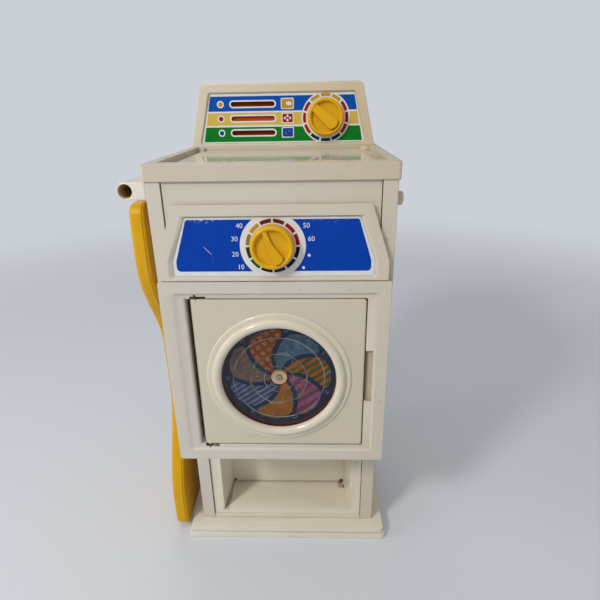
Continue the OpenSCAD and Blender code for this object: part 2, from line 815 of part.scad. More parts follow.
module linear_extrude_at(z0, z1) {
  translate([0, 0, z0]) linear_extrude(z1 - z0) children();
}

tub_flange = 7;
tub_screw_at = [for (x = [tub_x0 - 4.7, tub_x1 + 4.7], y = [tub_y0 + 25, tub_y1 - 25]) [x, y]];

// Wash tub hung under the tray by its flange
module wash_tub() {
  z1 = cabinet_h - seam;
  color(cream) difference() {
    union() {
      linear_extrude_at(z1 - wall, z1)
        round_rect([tub_x0 - tub_flange, tub_y0 - tub_flange], [tub_x1 + tub_flange, tub_y1 + tub_flange], 6);
      linear_extrude_at(z1 - tub_h, z1)
        round_rect([tub_x0 - wall, tub_y0 - wall], [tub_x1 + wall, tub_y1 + wall], tub_corner - 3 + wall);
    }
    linear_extrude_at(z1 - tub_h + wall, z1 + 1) round_rect([tub_x0, tub_y0], [tub_x1, tub_y1], tub_corner - 3);
    for (p = tub_screw_at) translate([p.x, p.y, z1 - 5]) cylinder(r = screw_r + seam, h = 6);
  }
}

module tub_screws() {
  color(steel) for (p = tub_screw_at) {
    translate([p.x, p.y, cabinet_h - seam - wall]) rotate([180, 0, 0]) screw(2.1, screw_r - running, 6);
  }
}

module lid() {
  color(door_cream) {
    difference() {
      union() {
        linear_extrude_at(lid_z0, lid_z0 + lid_t) union() {
          round_rect([lid_x0, y_lid0], [lid_x1, lid_axis_y - 6], 4);
          translate([lid_x0, y_lid0 + 8]) square([lid_x1 - lid_x0, lid_axis_y - y_lid0 - 8]);
        }
        translate([lid_x0, lid_axis_y, lid_axis_z]) rotate([0, 90, 0]) cylinder(r = lid_t / 2, h = lid_x1 - lid_x0);
      }
      // Hollow underside
      linear_extrude_at(lid_z0 - 1, lid_z0 + lid_t - 2)
        round_rect([lid_x0 + 3, y_lid0 + 3], [lid_x1 - 3, lid_axis_y - 4], 3);
    }
    for (x = [lid_x0 - 3.6, lid_x1 - eps]) {
      translate([x, lid_axis_y, lid_axis_z]) rotate([0, 90, 0]) cylinder(r = lid_pin_r, h = 3.6 + eps);
    }
  }
}

// ---------------------------------------------------------------- console

// Front view of the console; grow moves every edge outwards
module console_outline(grow) {
  round_poly([[console_foot + grow, tray_z1], [console_top + grow, tray_z1 + console_h + grow],
              [-console_top - grow, tray_z1 + console_h + grow], [-console_foot - grow, tray_z1]],
             [0, max(1, 8 + grow), max(1, 8 + grow), 0]);
}

// Side view of the console, its walls moved in by front, top and rear
module console_side(front, top, rear) {
  lean = console_h * tan(console_lean);
  round_poly([[y_console + front, tray_z1], [y_back - rear, tray_z1],
              [y_back - 10 - rear, tray_z1 + console_h - top], [y_console + lean + front, tray_z1 + console_h - top]],
             [0, 0, 3, 3]);
}

// Right half of the outline of the recess in the console's face
function console_half(grow) = [[console_foot - recess_side + grow, recess_x0 - grow],
                               [console_top - 8.5 + grow, console_h - recess_top + grow]];

module slot_outlines(grow) {
  for (k = [-1, 0, 1]) {
    translate([slot_x - slot_l / 2 - grow, slot_z + k * slot_pitch - slot_w / 2 - grow])
      square([slot_l + 2 * grow, slot_w + 2 * grow]);
  }
}

backing_half = slot_l / 2 + 4;
backing_h = 2 * slot_pitch + band_h + 13;
backing_posts = [for (x = [-1, 1], z = [-1, 1]) [slot_x + x * (backing_half - 3), slot_z + z * (backing_h / 2 - 3)]];
backing_y = band_y + band_t + 0.6;

module console_shell() {
  cover = -9;
  color(cream) {
    difference() {
      intersection() {
        plate_xz(y_console - 5, y_back + 5) console_outline(0);
        bar_yz(-console_foot - 1, console_foot + 1) console_side(0, 0, 0);
      }
      intersection() {
        plate_xz(y_console - 5, y_back + 5) translate([0, -eps]) console_outline(-wall);
        bar_yz(-console_foot - 1, console_foot + 1) translate([0, -eps]) console_side(face_t, wall, wall);
      }
      on_console() {
        loft([ring_at(console_recess, console_half(-console_slope), 2.5),
              ring_at(console_recess - label_t, console_half(-console_slope), 2.5),
              ring_at(label_t - console_recess, console_half(console_slope), 2.5)]);
        plate_xz(0, face_t + 3) slot_outlines(0.6);
        translate([cycle_x, 0, slot_z]) rotate([-90, 0, 0]) cylinder(r = shaft_r + running, h = 20);
      }
      // Rear opening for the cover
      plate_xz(y_back - 20, y_back + 5) intersection() {
        console_outline(cover);
        translate([-console_foot, tray_z1 + 8]) square([2 * console_foot, console_h]);
      }
    }
    // Posts for the backing plate and blocks for the guide rods
    on_console() {
      for (p = backing_posts) translate([p.x, face_t - 0.2, p.y]) rotate([-90, 0, 0]) cylinder(r = 2, h = backing_y - face_t - 0.1);
      for (x = [rod_x0, rod_x1], z = [3.5, console_h - 7]) {
        difference() {
          span([x - 4, face_t - 0.2, z], [x + 4, rod_y + 4, z + 3.5]);
          translate([x, rod_y, z - 1]) cylinder(r = rod_r + running, h = 6);
        }
      }
    }
  }
}

module console_back() {
  cover = -9;
  slope = atan(10 / console_h);
  color(cream) intersection() {
    plate_xz(y_back - 20, y_back + 5) intersection() {
      console_outline(cover - seam);
      translate([-console_foot, tray_z1 + 8 + seam]) square([2 * console_foot, console_h]);
    }
    translate([0, y_back, tray_z1]) rotate([slope, 0, 0])
      span([-console_foot, -wall, 0], [console_foot, 0, console_h]);
  }
}

module console_label() {
  color([0.93, 0.93, 0.9]) on_console() difference() {
    loft([ring_at(console_recess, console_half(-console_slope - seam), 2.5),
          ring_at(console_recess - label_t, console_half(-console_slope - seam), 2.5)]);
    plate_xz(0, console_recess + 1) slot_outlines(0);
    translate([cycle_x, 0, slot_z]) rotate([-90, 0, 0]) cylinder(r = shaft_r + 1, h = 20);
  }
}

module slot_backing() {
  color(maroon) on_console()
    span([slot_x - backing_half, backing_y, slot_z - backing_h / 2],
         [slot_x + backing_half, backing_y + 1.2, slot_z + backing_h / 2]);
}

module guide_rods() {
  color(steel) on_console() for (x = [rod_x0, rod_x1]) {
    translate([x, rod_y, 3.8]) cylinder(r = rod_r, h = console_h - 7.6);
  }
}

module cycle_knob() {
  color(knob_yellow) on_console() translate([cycle_x, console_recess - label_t - knob_lift, slot_z])
    outwards() knob(cycle_r, -40, 16, 11);
}

// Involute gear of the given teeth, module and pressure angle
function involute(base, t) = base * [cos(t) + t * PI / 180 * sin(t), sin(t) - t * PI / 180 * cos(t)];
function turned(p, a) = [p.x * cos(a) - p.y * sin(a), p.x * sin(a) + p.y * cos(a)];

module gear_outline(teeth, m, angle) {
  pitch = teeth * m / 2;
  base = pitch * cos(angle);
  tip = pitch + m;
  root = pitch - 1.25 * m;
  roll = sqrt(pow(tip / base, 2) - 1) * 180 / PI;
  at_pitch = tan(angle) * 180 / PI - angle;
  half_tooth = (PI * m / 2 - backlash) / pitch / 2 * 180 / PI;
  flank = [for (i = [0:5]) turned(involute(base, roll * i / 5), -half_tooth - at_pitch)];
  tooth = concat([turned([root, 0], -half_tooth - at_pitch)], flank,
                 [for (i = [5:-1:0]) [flank[i].x, -flank[i].y]], [turned([root, 0], half_tooth + at_pitch)]);
  polygon([for (k = [0:teeth - 1], p = tooth) turned(p, k * 360 / teeth)]);
}

module cycle_pinion() {
  color(knob_yellow) on_console() translate([cycle_x, 0, slot_z]) rotate([-90, 0, 0]) {
    translate([0, 0, -6]) cylinder(r = shaft_r, h = rack_y + rack_t + 6);
    translate([0, 0, rack_y + 0.4]) linear_extrude(rack_t - 0.8) gear_outline(pinion_teeth, gear_m, pressure);
  }
}

// Straight-sided rack teeth that mesh with the pinion, pointing to +x
module rack_outline(length) {
  pitch = PI * gear_m;
  half_tooth = (pitch / 2 - backlash) / 2;
  n = floor(length / 2 / pitch);
  add = gear_m * 0.95;
  ded = gear_m * 1.25;
  translate([-ded - 5, -length / 2]) square([5, length]);
  for (i = [-n:n - 1]) {
    c = (i + 0.5) * pitch;
    polygon([[-ded - 0.1, c - half_tooth - ded * tan(pressure)], [add, c - half_tooth + add * tan(pressure)],
             [add, c + half_tooth - add * tan(pressure)], [-ded - 0.1, c + half_tooth + ded * tan(pressure)]]);
  }
}

// Red band behind the slots, its arm, the two sleeves on the guide rods and the rack
module band_slide() {
  x_band = slot_x + backing_half - 1;
  color(orange_red) on_console() translate([0, 0, slot_z]) difference() {
    union() {
      span([rod_x0, band_y, -band_h / 2], [rack_x - 4, band_y + band_t, band_h / 2]);
      plate_xz(rack_y, rack_y + rack_t) translate([rack_x, 0]) rack_outline(2 * slot_pitch + 7.2);
      for (x = [rod_x0, rod_x1]) translate([x, rod_y, -sleeve_l / 2]) cylinder(r = sleeve_r, h = sleeve_l);
      span([rod_x1, rod_y - 2, -sleeve_l / 2], [rack_x - 4, rod_y + 1.4, sleeve_l / 2]);
    }
    for (x = [rod_x0, rod_x1]) translate([x, rod_y, -sleeve_l]) cylinder(r = rod_r + running, h = 2 * sleeve_l);
  }
}

// ---------------------------------------------------------------- rail and ironing board

// End view of the rail in (x, z)
module rail_outline() {
  translate([rail_x, rail_z]) circle(rail_h / 2);
  translate([rail_x, rail_z - rail_h / 2]) square([-half_top - rail_x, rail_h]);
}

module hinge_rail() {
  gap0 = board_y - knuckle_l / 2 - free_gap;
  gap1 = board_y + knuckle_l / 2 + free_gap;
  color(cream) difference() {
    union() {
      plate_xz(y_front, gap0) rail_outline();
      plate_xz(gap1, y_back) rail_outline();
      plate_xz(gap0 - 1, gap1 + 1) translate([-half_top - 4, rail_z - rail_h / 2]) square([4, rail_h]);
    }
    translate([rail_x, y_front - 1, rail_z]) rotate([-90, 0, 0]) cylinder(r = bore_r, h = bore_l + 1);
    translate([rail_x, gap0 - 16, rail_z]) rotate([-90, 0, 0])
      cylinder(r = hinge_pin_r + running, h = knuckle_l + 32 + 2 * free_gap);
  }
}

module board_pin() {
  l = knuckle_l + 30;
  color(steel) translate([rail_x, board_y - l / 2, rail_z]) rotate([-90, 0, 0]) cylinder(r = hinge_pin_r, h = l);
}

// Half width of the board at height t above its lower end
waist_lo = 206;
waist_hi = 268;
shoulder = 398;
function ease(t) = (1 - cos(180 * max(0, min(1, t)))) / 2;
function board_half(t) = board_waist_w
  + (board_foot_w - board_waist_w) * ease((waist_lo - t) / (waist_lo - 50))
  + (board_top_w - board_waist_w) * ease((t - waist_hi) / (shoulder - waist_hi))
  - 7 * ease((t - shoulder) / (board_l - shoulder) / 2);

// Closed outline of the board in (y, z), its edge moved in by an inset
function board_side(inset) = [
  for (a = [0:15:90]) [board_half(corner_r) - corner_r + (corner_r - inset) * sin(a),
                       corner_r - (corner_r - inset) * cos(a)],
  for (i = [1:19]) let (t = corner_r + (board_l - 2 * corner_r) * i / 20) [board_half(t) - inset, t],
  for (a = [0:15:90]) [board_half(board_l - corner_r) - corner_r + (corner_r - inset) * cos(a),
                       board_l - corner_r + (corner_r - inset) * sin(a)]
];
function board_outline(inset) = let (side = board_side(inset))
  concat(side, [for (i = [len(side) - 1:-1:0]) [-side[i].x, side[i].y]]);

// A skin through rings that have as many points; each ring is mirrored about
// its middle, and strips between its two sides close the first and last one
module loft(rings) {
  n = len(rings[0]);
  last = (len(rings) - 1) * n;
  polyhedron(
    points = [for (r = rings, p = r) p],
    faces = concat(
      [for (i = [0:n / 2 - 2]) [i, i + 1, n - 2 - i, n - 1 - i]],
      [for (k = [0:len(rings) - 2], i = [0:n - 1])
        [k * n + i, (k + 1) * n + i, (k + 1) * n + (i + 1) % n, k * n + (i + 1) % n]],
      [for (i = [0:n / 2 - 2]) [last + n - 1 - i, last + n - 2 - i, last + i + 1, last + i]]),
    convexity = 6);
}

function board_ring(inset, x) = [for (p = board_outline(inset)) [x, board_y + p.x, board_z0 + p.y]];

// Outer half of the board: a tray whose open side faces the cabinet
module board_shell() {
  x1 = board_x0 + board_t - wall - seam;
  color(board_yellow) loft([
    board_ring(5.5, board_x0), board_ring(2.4, board_x0 + 0.9), board_ring(0.6, board_x0 + 2.8), board_ring(0, board_x0 + 5.5),
    board_ring(0, x1), board_ring(wall, x1), board_ring(wall, board_x0 + wall)
  ]);
}

// Inner half of the board, a plate with a bevelled edge
module board_cover() {
  x1 = board_x0 + board_t;
  color(board_yellow) loft([
    board_ring(0, x1 - wall), board_ring(0.4, x1 - 1.2), board_ring(2, x1)
  ]);
}

// Bracket on the board's upper end, with the barrel that turns on the pin
module board_knuckle() {
  x0 = board_x0 + board_t + 0.1;
  color(board_yellow) difference() {
    union() {
      translate([rail_x, board_y - knuckle_l / 2, rail_z]) rotate([-90, 0, 0]) cylinder(r = 7, h = knuckle_l);
      bar_y(knuckle_l) polygon([[rail_x - 6.5, rail_z - 1], [rail_x + 6.5, rail_z - 1],
                                [x0 + 3, board_z1 + 6], [x0 + 3, board_z1 - 26], [x0, board_z1 - 26],
                                [x0, board_z1 + seam], [x0 - 12, board_z1 + seam]]);
    }
    translate([rail_x, board_y - knuckle_l, rail_z]) rotate([-90, 0, 0])
      cylinder(r = hinge_pin_r + running, h = 2 * knuckle_l);
  }
}

// A profile in (x, z) run along y, centred on the board
module bar_y(length) {
  plate_xz(board_y - length / 2, board_y + length / 2) children();
}

// Round peg on the right side
module side_peg() {
  z = cabinet_h - 21;
  x = side_x(z + 7);
  color(cream) translate([x, y_front + 20, z]) rotate([0, 90, 0]) rotate_extrude() {
    square([7, 5]);
    square([5, 8]);
    translate([5, 5]) intersection() {
      square(3);
      scale([2, 3]) circle(1);
    }
  }
}

base_plinth();
base_screws();
side_panel_left();
side_panel_right();
lower_bin();
belly_pan();
back_cover();
cover_screws();
door_frame();
dryer_bin();
control_panel();
timer_label();
timer_knob();
timer_wheel();
detent_spring();
top_tray();
wash_tub();
tub_screws();
lid();
console_shell();
console_back();
console_label();
slot_backing();
guide_rods();
cycle_knob();
cycle_pinion();
band_slide();
door_panel();
door_back();
window_rim();
window_pane();
drum_cup();
picture_disc();
disc_hub();
hub_screw();
hinge_rail();
board_pin();
board_shell();
board_cover();
board_knuckle();
side_peg();
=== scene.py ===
"""Looks of a toy washing machine: aged ivory plastic, printed labels, a round
window with a spinning picture and a yellow ironing board, round a fixed frame."""

import json
import math

import bmesh
import bpy
from mathutils import Matrix, Vector
from mathutils.geometry import tessellate_polygon

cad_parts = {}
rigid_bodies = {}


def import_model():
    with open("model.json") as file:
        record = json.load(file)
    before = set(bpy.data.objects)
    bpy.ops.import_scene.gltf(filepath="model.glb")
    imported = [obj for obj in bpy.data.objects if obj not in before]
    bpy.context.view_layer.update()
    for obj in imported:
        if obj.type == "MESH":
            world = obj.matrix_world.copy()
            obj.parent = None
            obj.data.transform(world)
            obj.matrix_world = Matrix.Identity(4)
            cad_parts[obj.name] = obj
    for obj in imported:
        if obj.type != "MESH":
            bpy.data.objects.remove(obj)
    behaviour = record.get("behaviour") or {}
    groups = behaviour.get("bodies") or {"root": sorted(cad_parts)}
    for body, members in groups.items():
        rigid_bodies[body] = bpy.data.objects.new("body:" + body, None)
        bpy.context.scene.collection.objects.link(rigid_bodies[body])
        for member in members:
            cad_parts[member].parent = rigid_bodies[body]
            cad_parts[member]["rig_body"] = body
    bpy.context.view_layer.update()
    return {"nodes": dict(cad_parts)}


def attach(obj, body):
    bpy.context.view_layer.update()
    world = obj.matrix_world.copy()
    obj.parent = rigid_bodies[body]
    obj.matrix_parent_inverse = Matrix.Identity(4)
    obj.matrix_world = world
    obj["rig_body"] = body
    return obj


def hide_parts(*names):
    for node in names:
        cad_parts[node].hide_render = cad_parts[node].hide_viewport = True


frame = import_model()

bl_info = {
    "name": "Toy Washing Machine",
    "version": (1, 0, 0),
    "blender": (4, 5, 0),
    "location": "3D View > Sidebar > Washer",
    "description": "Moulded edges, prints and worn finishes of a toy washing machine",
    "category": "Object",
}

MM = 0.001

# Depths of relief in the finishes, the reach of dirt and painted shade in a corner, and the palest
# ivory
WAVE = 0.0006
GRAIN = 0.0001
DIRT_AND_SHADE_REACH = 0.006
BRIGHTEST = 0.85


# ------------------------------------------------------------------ settings


def colour(name, text, default):
    """A linear colour that the user may change."""
    return bpy.props.FloatVectorProperty(
        name=name, description=text, default=default, size=3, min=0, max=1, subtype="COLOR"
    )


def length(name, text, default, top=0.05):
    """A length in metres that the user may change."""
    return bpy.props.FloatProperty(
        name=name, description=text, default=default, min=0, max=top, unit="LENGTH", precision=5
    )


def share(name, text, default):
    """A share from none to all that the user may change."""
    return bpy.props.FloatProperty(
        name=name, description=text, default=default, min=0, max=1, subtype="FACTOR"
    )


def power(name, text, default):
    """A lamp's power in watts that the user may change."""
    return bpy.props.FloatProperty(
        name=name, description=text, default=default, min=0, unit="POWER"
    )


class WasherFinish(bpy.types.PropertyGroup):
    """Colours and wear of the moulded plastic."""

    ivory: colour("Ivory", "Clean colour of the cabinet", (0.70, 0.655, 0.575))
    door_ivory: colour("Door ivory", "Clean colour of the door and lid", (0.66, 0.60, 0.475))
    yellowed: colour("Yellowed", "Colour that old ivory turns to", (0.62, 0.51, 0.33))
    # The grime colour and amount serve both dirt and painted shade in corners and cracks.
    grime_tint: colour("Grime", "Colour of dirt in the corners", (0.2, 0.13, 0.065))
    board_yellow: colour("Board yellow", "Colour of the ironing board", (0.7, 0.37, 0.002))
    knob_yellow: colour("Knob yellow", "Colour of both dials' knobs", (0.76, 0.41, 0.002))
    maroon: colour("Maroon", "Colour of the drum cup", (0.16, 0.012, 0.014))
    grime: share("Grime amount", "How much dirt lies in the corners", 0.5)
    edge: length("Edge radius", "Rounding of a moulded edge", 0.002, 0.004)


class WasherPrints(bpy.types.PropertyGroup):
    """Colours and thickness of the printed labels."""

    white: colour("White", "Ground of the labels", (0.76, 0.77, 0.75))
    blue: colour("Blue", "Blue field and stripe", (0.001, 0.05, 0.40))
    yellow: colour("Yellow", "Yellow stripe", (0.66, 0.46, 0.09))
    green: colour("Green", "Green stripe", (0.003, 0.19, 0.016))
    red: colour("Red", "Red arcs", (0.34, 0.006, 0.01))
    ink: length("Ink", "Thickness of one printed layer", 0.0001, 0.0003)
    scuffs: share("Scuffs", "How scratched the blue field is", 0.6)


class WasherWindow(bpy.types.PropertyGroup):
    """The clear pane and the picture behind it."""

    pane: colour("Pane", "Tint of the clear pane", (0.93, 0.95, 0.93))
    navy: colour("Navy", "Ground of the picture", (0.001, 0.014, 0.06))
    denim: colour("Denim", "Pale blue cloth in the picture", (0.05, 0.12, 0.22))
    # The bead tint is a painted highlight on the clear beads.
    bead_tint: colour("Bead tint", "Gleam of the pane's moulded lines", (0.72, 0.76, 0.7))
    bead: length("Bead", "Radius of a moulded line on the pane", 0.0006, 0.001)
    blades: bpy.props.IntProperty(
        name="Blades", description="Patches in the pinwheel", default=7, min=3, max=12
    )


class WasherStage(bpy.types.PropertyGroup):
    """Camera, lamps and floor."""

    lens: bpy.props.FloatProperty(
        name="Lens", description="Focal length", default=28.24, min=10, max=200, unit="CAMERA"
    )
    key: power("Key", "Power of the front lamp", 21.0)
    top: power("Top", "Power of the lamp overhead", 5.0)
    fill: power("Fill", "Power of the side lamps", 5.0)
    sky: share("Sky", "Strength of the even light", 0.36)
    floor: colour("Floor", "Colour of the floor", (0.68, 0.71, 0.77))


SETTINGS = {
    "washer_finish": WasherFinish,
    "washer_prints": WasherPrints,
    "washer_window": WasherWindow,
    "washer_stage": WasherStage,
}


# ------------------------------------------------------------------ finishes


class Recipe:
    """A procedural material under construction; patterns follow the object's own place."""

    def __init__(self, name, tone, **sockets):
        self.tone = tone
        self.material = bpy.data.materials.new(name)
        self.material.use_nodes = True
        self.tree = self.material.node_tree
        self.shader = self.tree.nodes["Principled BSDF"]
        self.place = self.tree.nodes.new("ShaderNodeTexCoord").outputs["Object"]
        for socket, value in sockets.items():
            self.feed(socket.replace("_", " "), value)

    def feed(self, socket, value):
        """Sets or links a socket of the shader."""
        self.put(self.shader.inputs[socket], value)

    def put(self, socket, value):
        if isinstance(value, bpy.types.NodeSocket):
            self.tree.links.new(value, socket)
        elif socket.type == "RGBA":
            socket.default_value = (*value[:3], 1)
        else:
            socket.default_value = value

    def node(self, kind, inputs, **options):
        made = self.tree.nodes.new(kind)
        for key, value in options.items():
            setattr(made, key, value)
        for key, value in inputs.items():
            self.put(made.inputs[key], value)
        return made

    def stretched(self, scale, turn=(0, 0, 0)):
        """Places scaled and turned, for patterns that run one way."""
        made = self.node(
            "ShaderNodeMapping", {"Vector": self.place, "Scale": scale, "Rotation": turn}
        )
        return made.outputs["Vector"]

    def noise(self, scale, detail=3.0, rough=0.5, place=None, warp=0.0):
        inputs = {
            "Vector": place or self.place,
            "Scale": scale,
            "Detail": detail,
            "Roughness": rough,
            "Distortion": warp,
        }
        return self.node("ShaderNodeTexNoise", inputs).outputs[0]

    def cells(self, scale, place, jitter):
        inputs = {"Vector": place, "Scale": scale, "Randomness": jitter}
        return self.node("ShaderNodeTexVoronoi", inputs, feature="F1").outputs["Distance"]

    def bands(self, scale, direction, place, warp=0.0):
        inputs = {"Vector": place, "Scale": scale, "Distortion": warp}
        made = self.node("ShaderNodeTexWave", inputs, bands_direction=direction)
        return made.outputs["Fac"]

    def between(self, value, low, high, start=0.0, end=1.0):
        """Value brought from low..high to start..end, smoothly and no further."""
        inputs = {"Value": value, "From Min": low, "From Max": high, "To Min": start, "To Max": end}
        made = self.node("ShaderNodeMapRange", inputs, interpolation_type="SMOOTHSTEP")
        return made.outputs["Result"]

    def cloud(self, noise, low, high, start=0.0, end=1.0):
        """Soft patches of a noise; between its limits they run from start to end."""
        return self.between(self.noise(*noise), low, high, start, end)

    def calc(self, operation, a, b=0.0, c=0.0, clamp=False):
        made = self.node("ShaderNodeMath", {0: a, 1: b, 2: c}, operation=operation, use_clamp=clamp)
        return made.outputs[0]

    def axis(self, name):
        """One coordinate of the place."""
        return self.node("ShaderNodeSeparateXYZ", {0: self.place}).outputs[name]

    def product(self, first, *others):
        for other in others:
            first = self.calc("MULTIPLY", first, other)
        return first

    def cover(self, mask, tint):
        """Lays a tint over the tone so far, as far as the mask says."""
        inputs = {0: mask, 6: self.tone, 7: tint}
        self.tone = self.node("ShaderNodeMix", inputs, data_type="RGBA").outputs[2]

    def done(self):
        """The material, with its tone as the shader's colour."""
        self.feed("Base Color", self.tone)
        return self.material

    def distance(self, centre, squash=(1, 1, 1)):
        """Distance from a point given in millimetres; a squash of 0 ignores that axis."""
        inputs = {"Vector": self.place, "Location": [-c * MM for c in centre]}
        moved = self.node("ShaderNodeMapping", inputs, vector_type="POINT").outputs["Vector"]
        inputs = {"Vector": moved, "Scale": squash}
        shaped = self.node("ShaderNodeMapping", inputs).outputs["Vector"]
        return self.node("ShaderNodeVectorMath", {0: shaped}, operation="LENGTH").outputs["Value"]

    def corner(self, reach):
        """How shut in a point is, from 0 in the open to 1 in a crack."""
        made = self.node("ShaderNodeAmbientOcclusion", {"Distance": reach}, samples=6)
        return self.calc("SUBTRACT", 1.0, made.outputs["AO"])

    def soften(self, radius):
        """Lets light run round the edges, as on any moulded piece."""
        made = self.node("ShaderNodeBevel", {"Radius": radius}, samples=6)
        self.feed("Normal", made.outputs["Normal"])

    def relief(self, height, strength, depth):
        """A bump over the one already there."""
        inputs = {"Height": height, "Strength": strength, "Distance": depth}
        old = self.shader.inputs["Normal"]
        if old.is_linked:
            inputs["Normal"] = old.links[0].from_socket
        self.feed("Normal", self.node("ShaderNodeBump", inputs).outputs["Normal"])

    def hairlines(self, scale, turn, width=0.004, patchy=0.55):
        """Fine scratches: thin contours of a stretched noise, in patches."""
        place = self.stretched((1, 1, 0.12), turn)
        drift = self.calc("SUBTRACT", self.noise(scale, 1.0, 0.4, place), 0.5)
        line = self.between(self.calc("ABSOLUTE", drift), 0.0, width, 1.0, 0.0)
        return self.product(line, self.cloud((17.0, 2.0), patchy, patchy + 0.1))


def setting(key):
    """The scene's value of one setting; no two groups share a key."""
    group = next(name for name, kind in SETTINGS.items() if key in kind.__annotations__)
    return getattr(getattr(bpy.context.scene, group), key)


def tint_of(value):
    """A colour, given as numbers or as the key of a setting."""
    return list(setting(value) if isinstance(value, str) else value)


def shaded(tint, left):
    """A tint with that share of its light left."""
    return [c * left for c in tint]


def ivory_plastic(
    name, tint="ivory", fresh=1.0, age=0.15, right_shade_and_age=0.3, gloss=0.16, grime=1.0, edge=1.0,
    overlays=(),
):
    """Ivory plastic: faintly yellowed in clouds, yellower and darker towards the right with painted
    shade, dirty and darkened with painted shade in the corners, and lightly scuffed.
    """
    clean = [min(BRIGHTEST, c * fresh) for c in tint_of(tint)]
    old, dirt_and_shade_tint = tint_of("yellowed"), tint_of("grime_tint")
    recipe = Recipe(name, clean, IOR=1.5, Specular_IOR_Level=0.5)
    recipe.soften(setting("edge") * edge)
    cloud = recipe.cloud((5.0, 3.0, 0.5), 0.3, 0.75, -0.08, 0.12)
    # Painted shade with yellowing: towards the right, away from the key lamp, the ivory turns to
    # the darker yellowed colour.
    right = recipe.between(recipe.axis("X"), -0.03, 0.15, age, age + right_shade_and_age)
    recipe.cover(recipe.calc("ADD", cloud, right, clamp=True), old)
    # Dirt and painted shade: the grime colour darkens corners and cracks as far as they are shut
    # in, in smeared patches.
    crack = recipe.calc("POWER", recipe.corner(DIRT_AND_SHADE_REACH), 1.8)
    smear = recipe.cloud((38.0, 4.0, 0.6), 0.34, 0.72, 0.35, 1.0)
    amount = setting("grime") * grime
    dirt_and_shade = recipe.calc("MULTIPLY", recipe.product(crack, smear), amount, clamp=True)
    recipe.cover(dirt_and_shade, dirt_and_shade_tint)
    recipe.cover(recipe.cloud((330.0, 1.0, 0.4), 0.79, 0.83, 0.0, 0.45), dirt_and_shade_tint)
    for overlay in overlays:
        overlay(recipe)
    scratch = recipe.hairlines(16.0, (0.5, 0.9, 0.3))
    recipe.cover(recipe.product(scratch, 0.08), old)
    rough = recipe.cloud((21.0, 4.0, 0.6), 0.3, 0.75, gloss, gloss + 0.1)
    rough = recipe.calc("MULTIPLY_ADD", dirt_and_shade, 0.4, rough)
    recipe.feed("Roughness", recipe.calc("MULTIPLY_ADD", scratch, 0.12, rough))
    recipe.relief(recipe.noise(14.0, 2.0), 0.25, WAVE)
    recipe.relief(recipe.noise(900.0, 2.0), 0.04, GRAIN)
    recipe.relief(scratch, -0.1, GRAIN)
    return recipe.done()


def patch(low, high, tint, amount=1.0, soft=0.4, grain=120.0):
    """A tint inside a box given in millimetres, ragged at its rim: dirt in some places, painted
    shade in the hinge slots.
    """

    def apply(recipe):
        where = amount
        for axis, start, end in zip("XYZ", low, high):
            ragged = recipe.calc("SUBTRACT", recipe.noise(grain), 0.5)
            place = recipe.calc("MULTIPLY_ADD", ragged, soft * 4 * MM, recipe.axis(axis))
            inside = recipe.between(place, (start - soft) * MM, (start + soft) * MM)
            where = recipe.product(where, inside)
            inside = recipe.between(place, (end - soft) * MM, (end + soft) * MM, 1.0, 0.0)
            where = recipe.product(where, inside)
        recipe.cover(where, tint)

    return apply


def spot(place, radius, tint, amount=0.8, squash=(1, 1, 1)):
    """A dark fleck or stain round a point given in millimetres."""

    def apply(recipe):
        distance = recipe.distance(place, squash)
        ragged = recipe.calc("MULTIPLY_ADD", recipe.noise(400.0 / radius), radius * MM, distance)
        where = recipe.between(ragged, radius * MM * 0.9, radius * MM * 1.5, amount, 0.0)
        recipe.cover(where, tint)

    return apply


def bore(mouth, radius, tint, amount):
    """A darker tan inside a round hole that runs back from its mouth, given in millimetres."""

    def apply(recipe):
        distance = recipe.distance(mouth, (1, 0, 1))
        where = recipe.between(distance, radius * MM, (radius + 0.7) * MM, amount, 0.0)
        behind = recipe.between(recipe.axis("Y"), mouth[1] * MM, (mouth[1] + 1) * MM)
        recipe.cover(recipe.product(where, behind), tint)

    return apply


def bright_plastic(name, tint, worn, gloss=0.3, grime_tint=(0.2, 0.12, 0.03), level=0.22):
    """Coloured plastic: a faint bloom in clouds, dirt and painted shade in the corners, and fine
    scratches.
    """
    tint = tint_of(tint)
    recipe = Recipe(name, tint, IOR=1.5, Specular_IOR_Level=level)
    recipe.soften(0.001)
    recipe.cover(recipe.cloud((9.0, 4.0, 0.6), 0.45, 0.8, 0.0, 0.15), worn)
    recipe.cover(recipe.cloud((60.0, 4.0, 0.6), 0.35, 0.75, 0.0, 0.2), shaded(tint, 0.72))
    # Dirt and painted shade: the grime colour darkens corners and cracks as far as they are shut
    # in.
    smear = recipe.cloud((45.0, 4.0), 0.32, 0.7, 0.3, 1.0)
    recipe.cover(recipe.product(recipe.corner(DIRT_AND_SHADE_REACH), smear, 0.35), grime_tint)
    scratch = recipe.hairlines(20.0, (0.2, 0.7, 1.1))
    recipe.cover(recipe.product(scratch, 0.2), worn)
    rough = recipe.cloud((30.0, 4.0, 0.6), 0.3, 0.75, gloss, gloss + 0.15)
    recipe.feed("Roughness", recipe.calc("MULTIPLY_ADD", scratch, 0.25, rough))
    recipe.relief(recipe.noise(18.0, 2.0), 0.25, WAVE)
    recipe.relief(recipe.noise(900.0, 2.0), 0.05, GRAIN)
    return recipe.done()


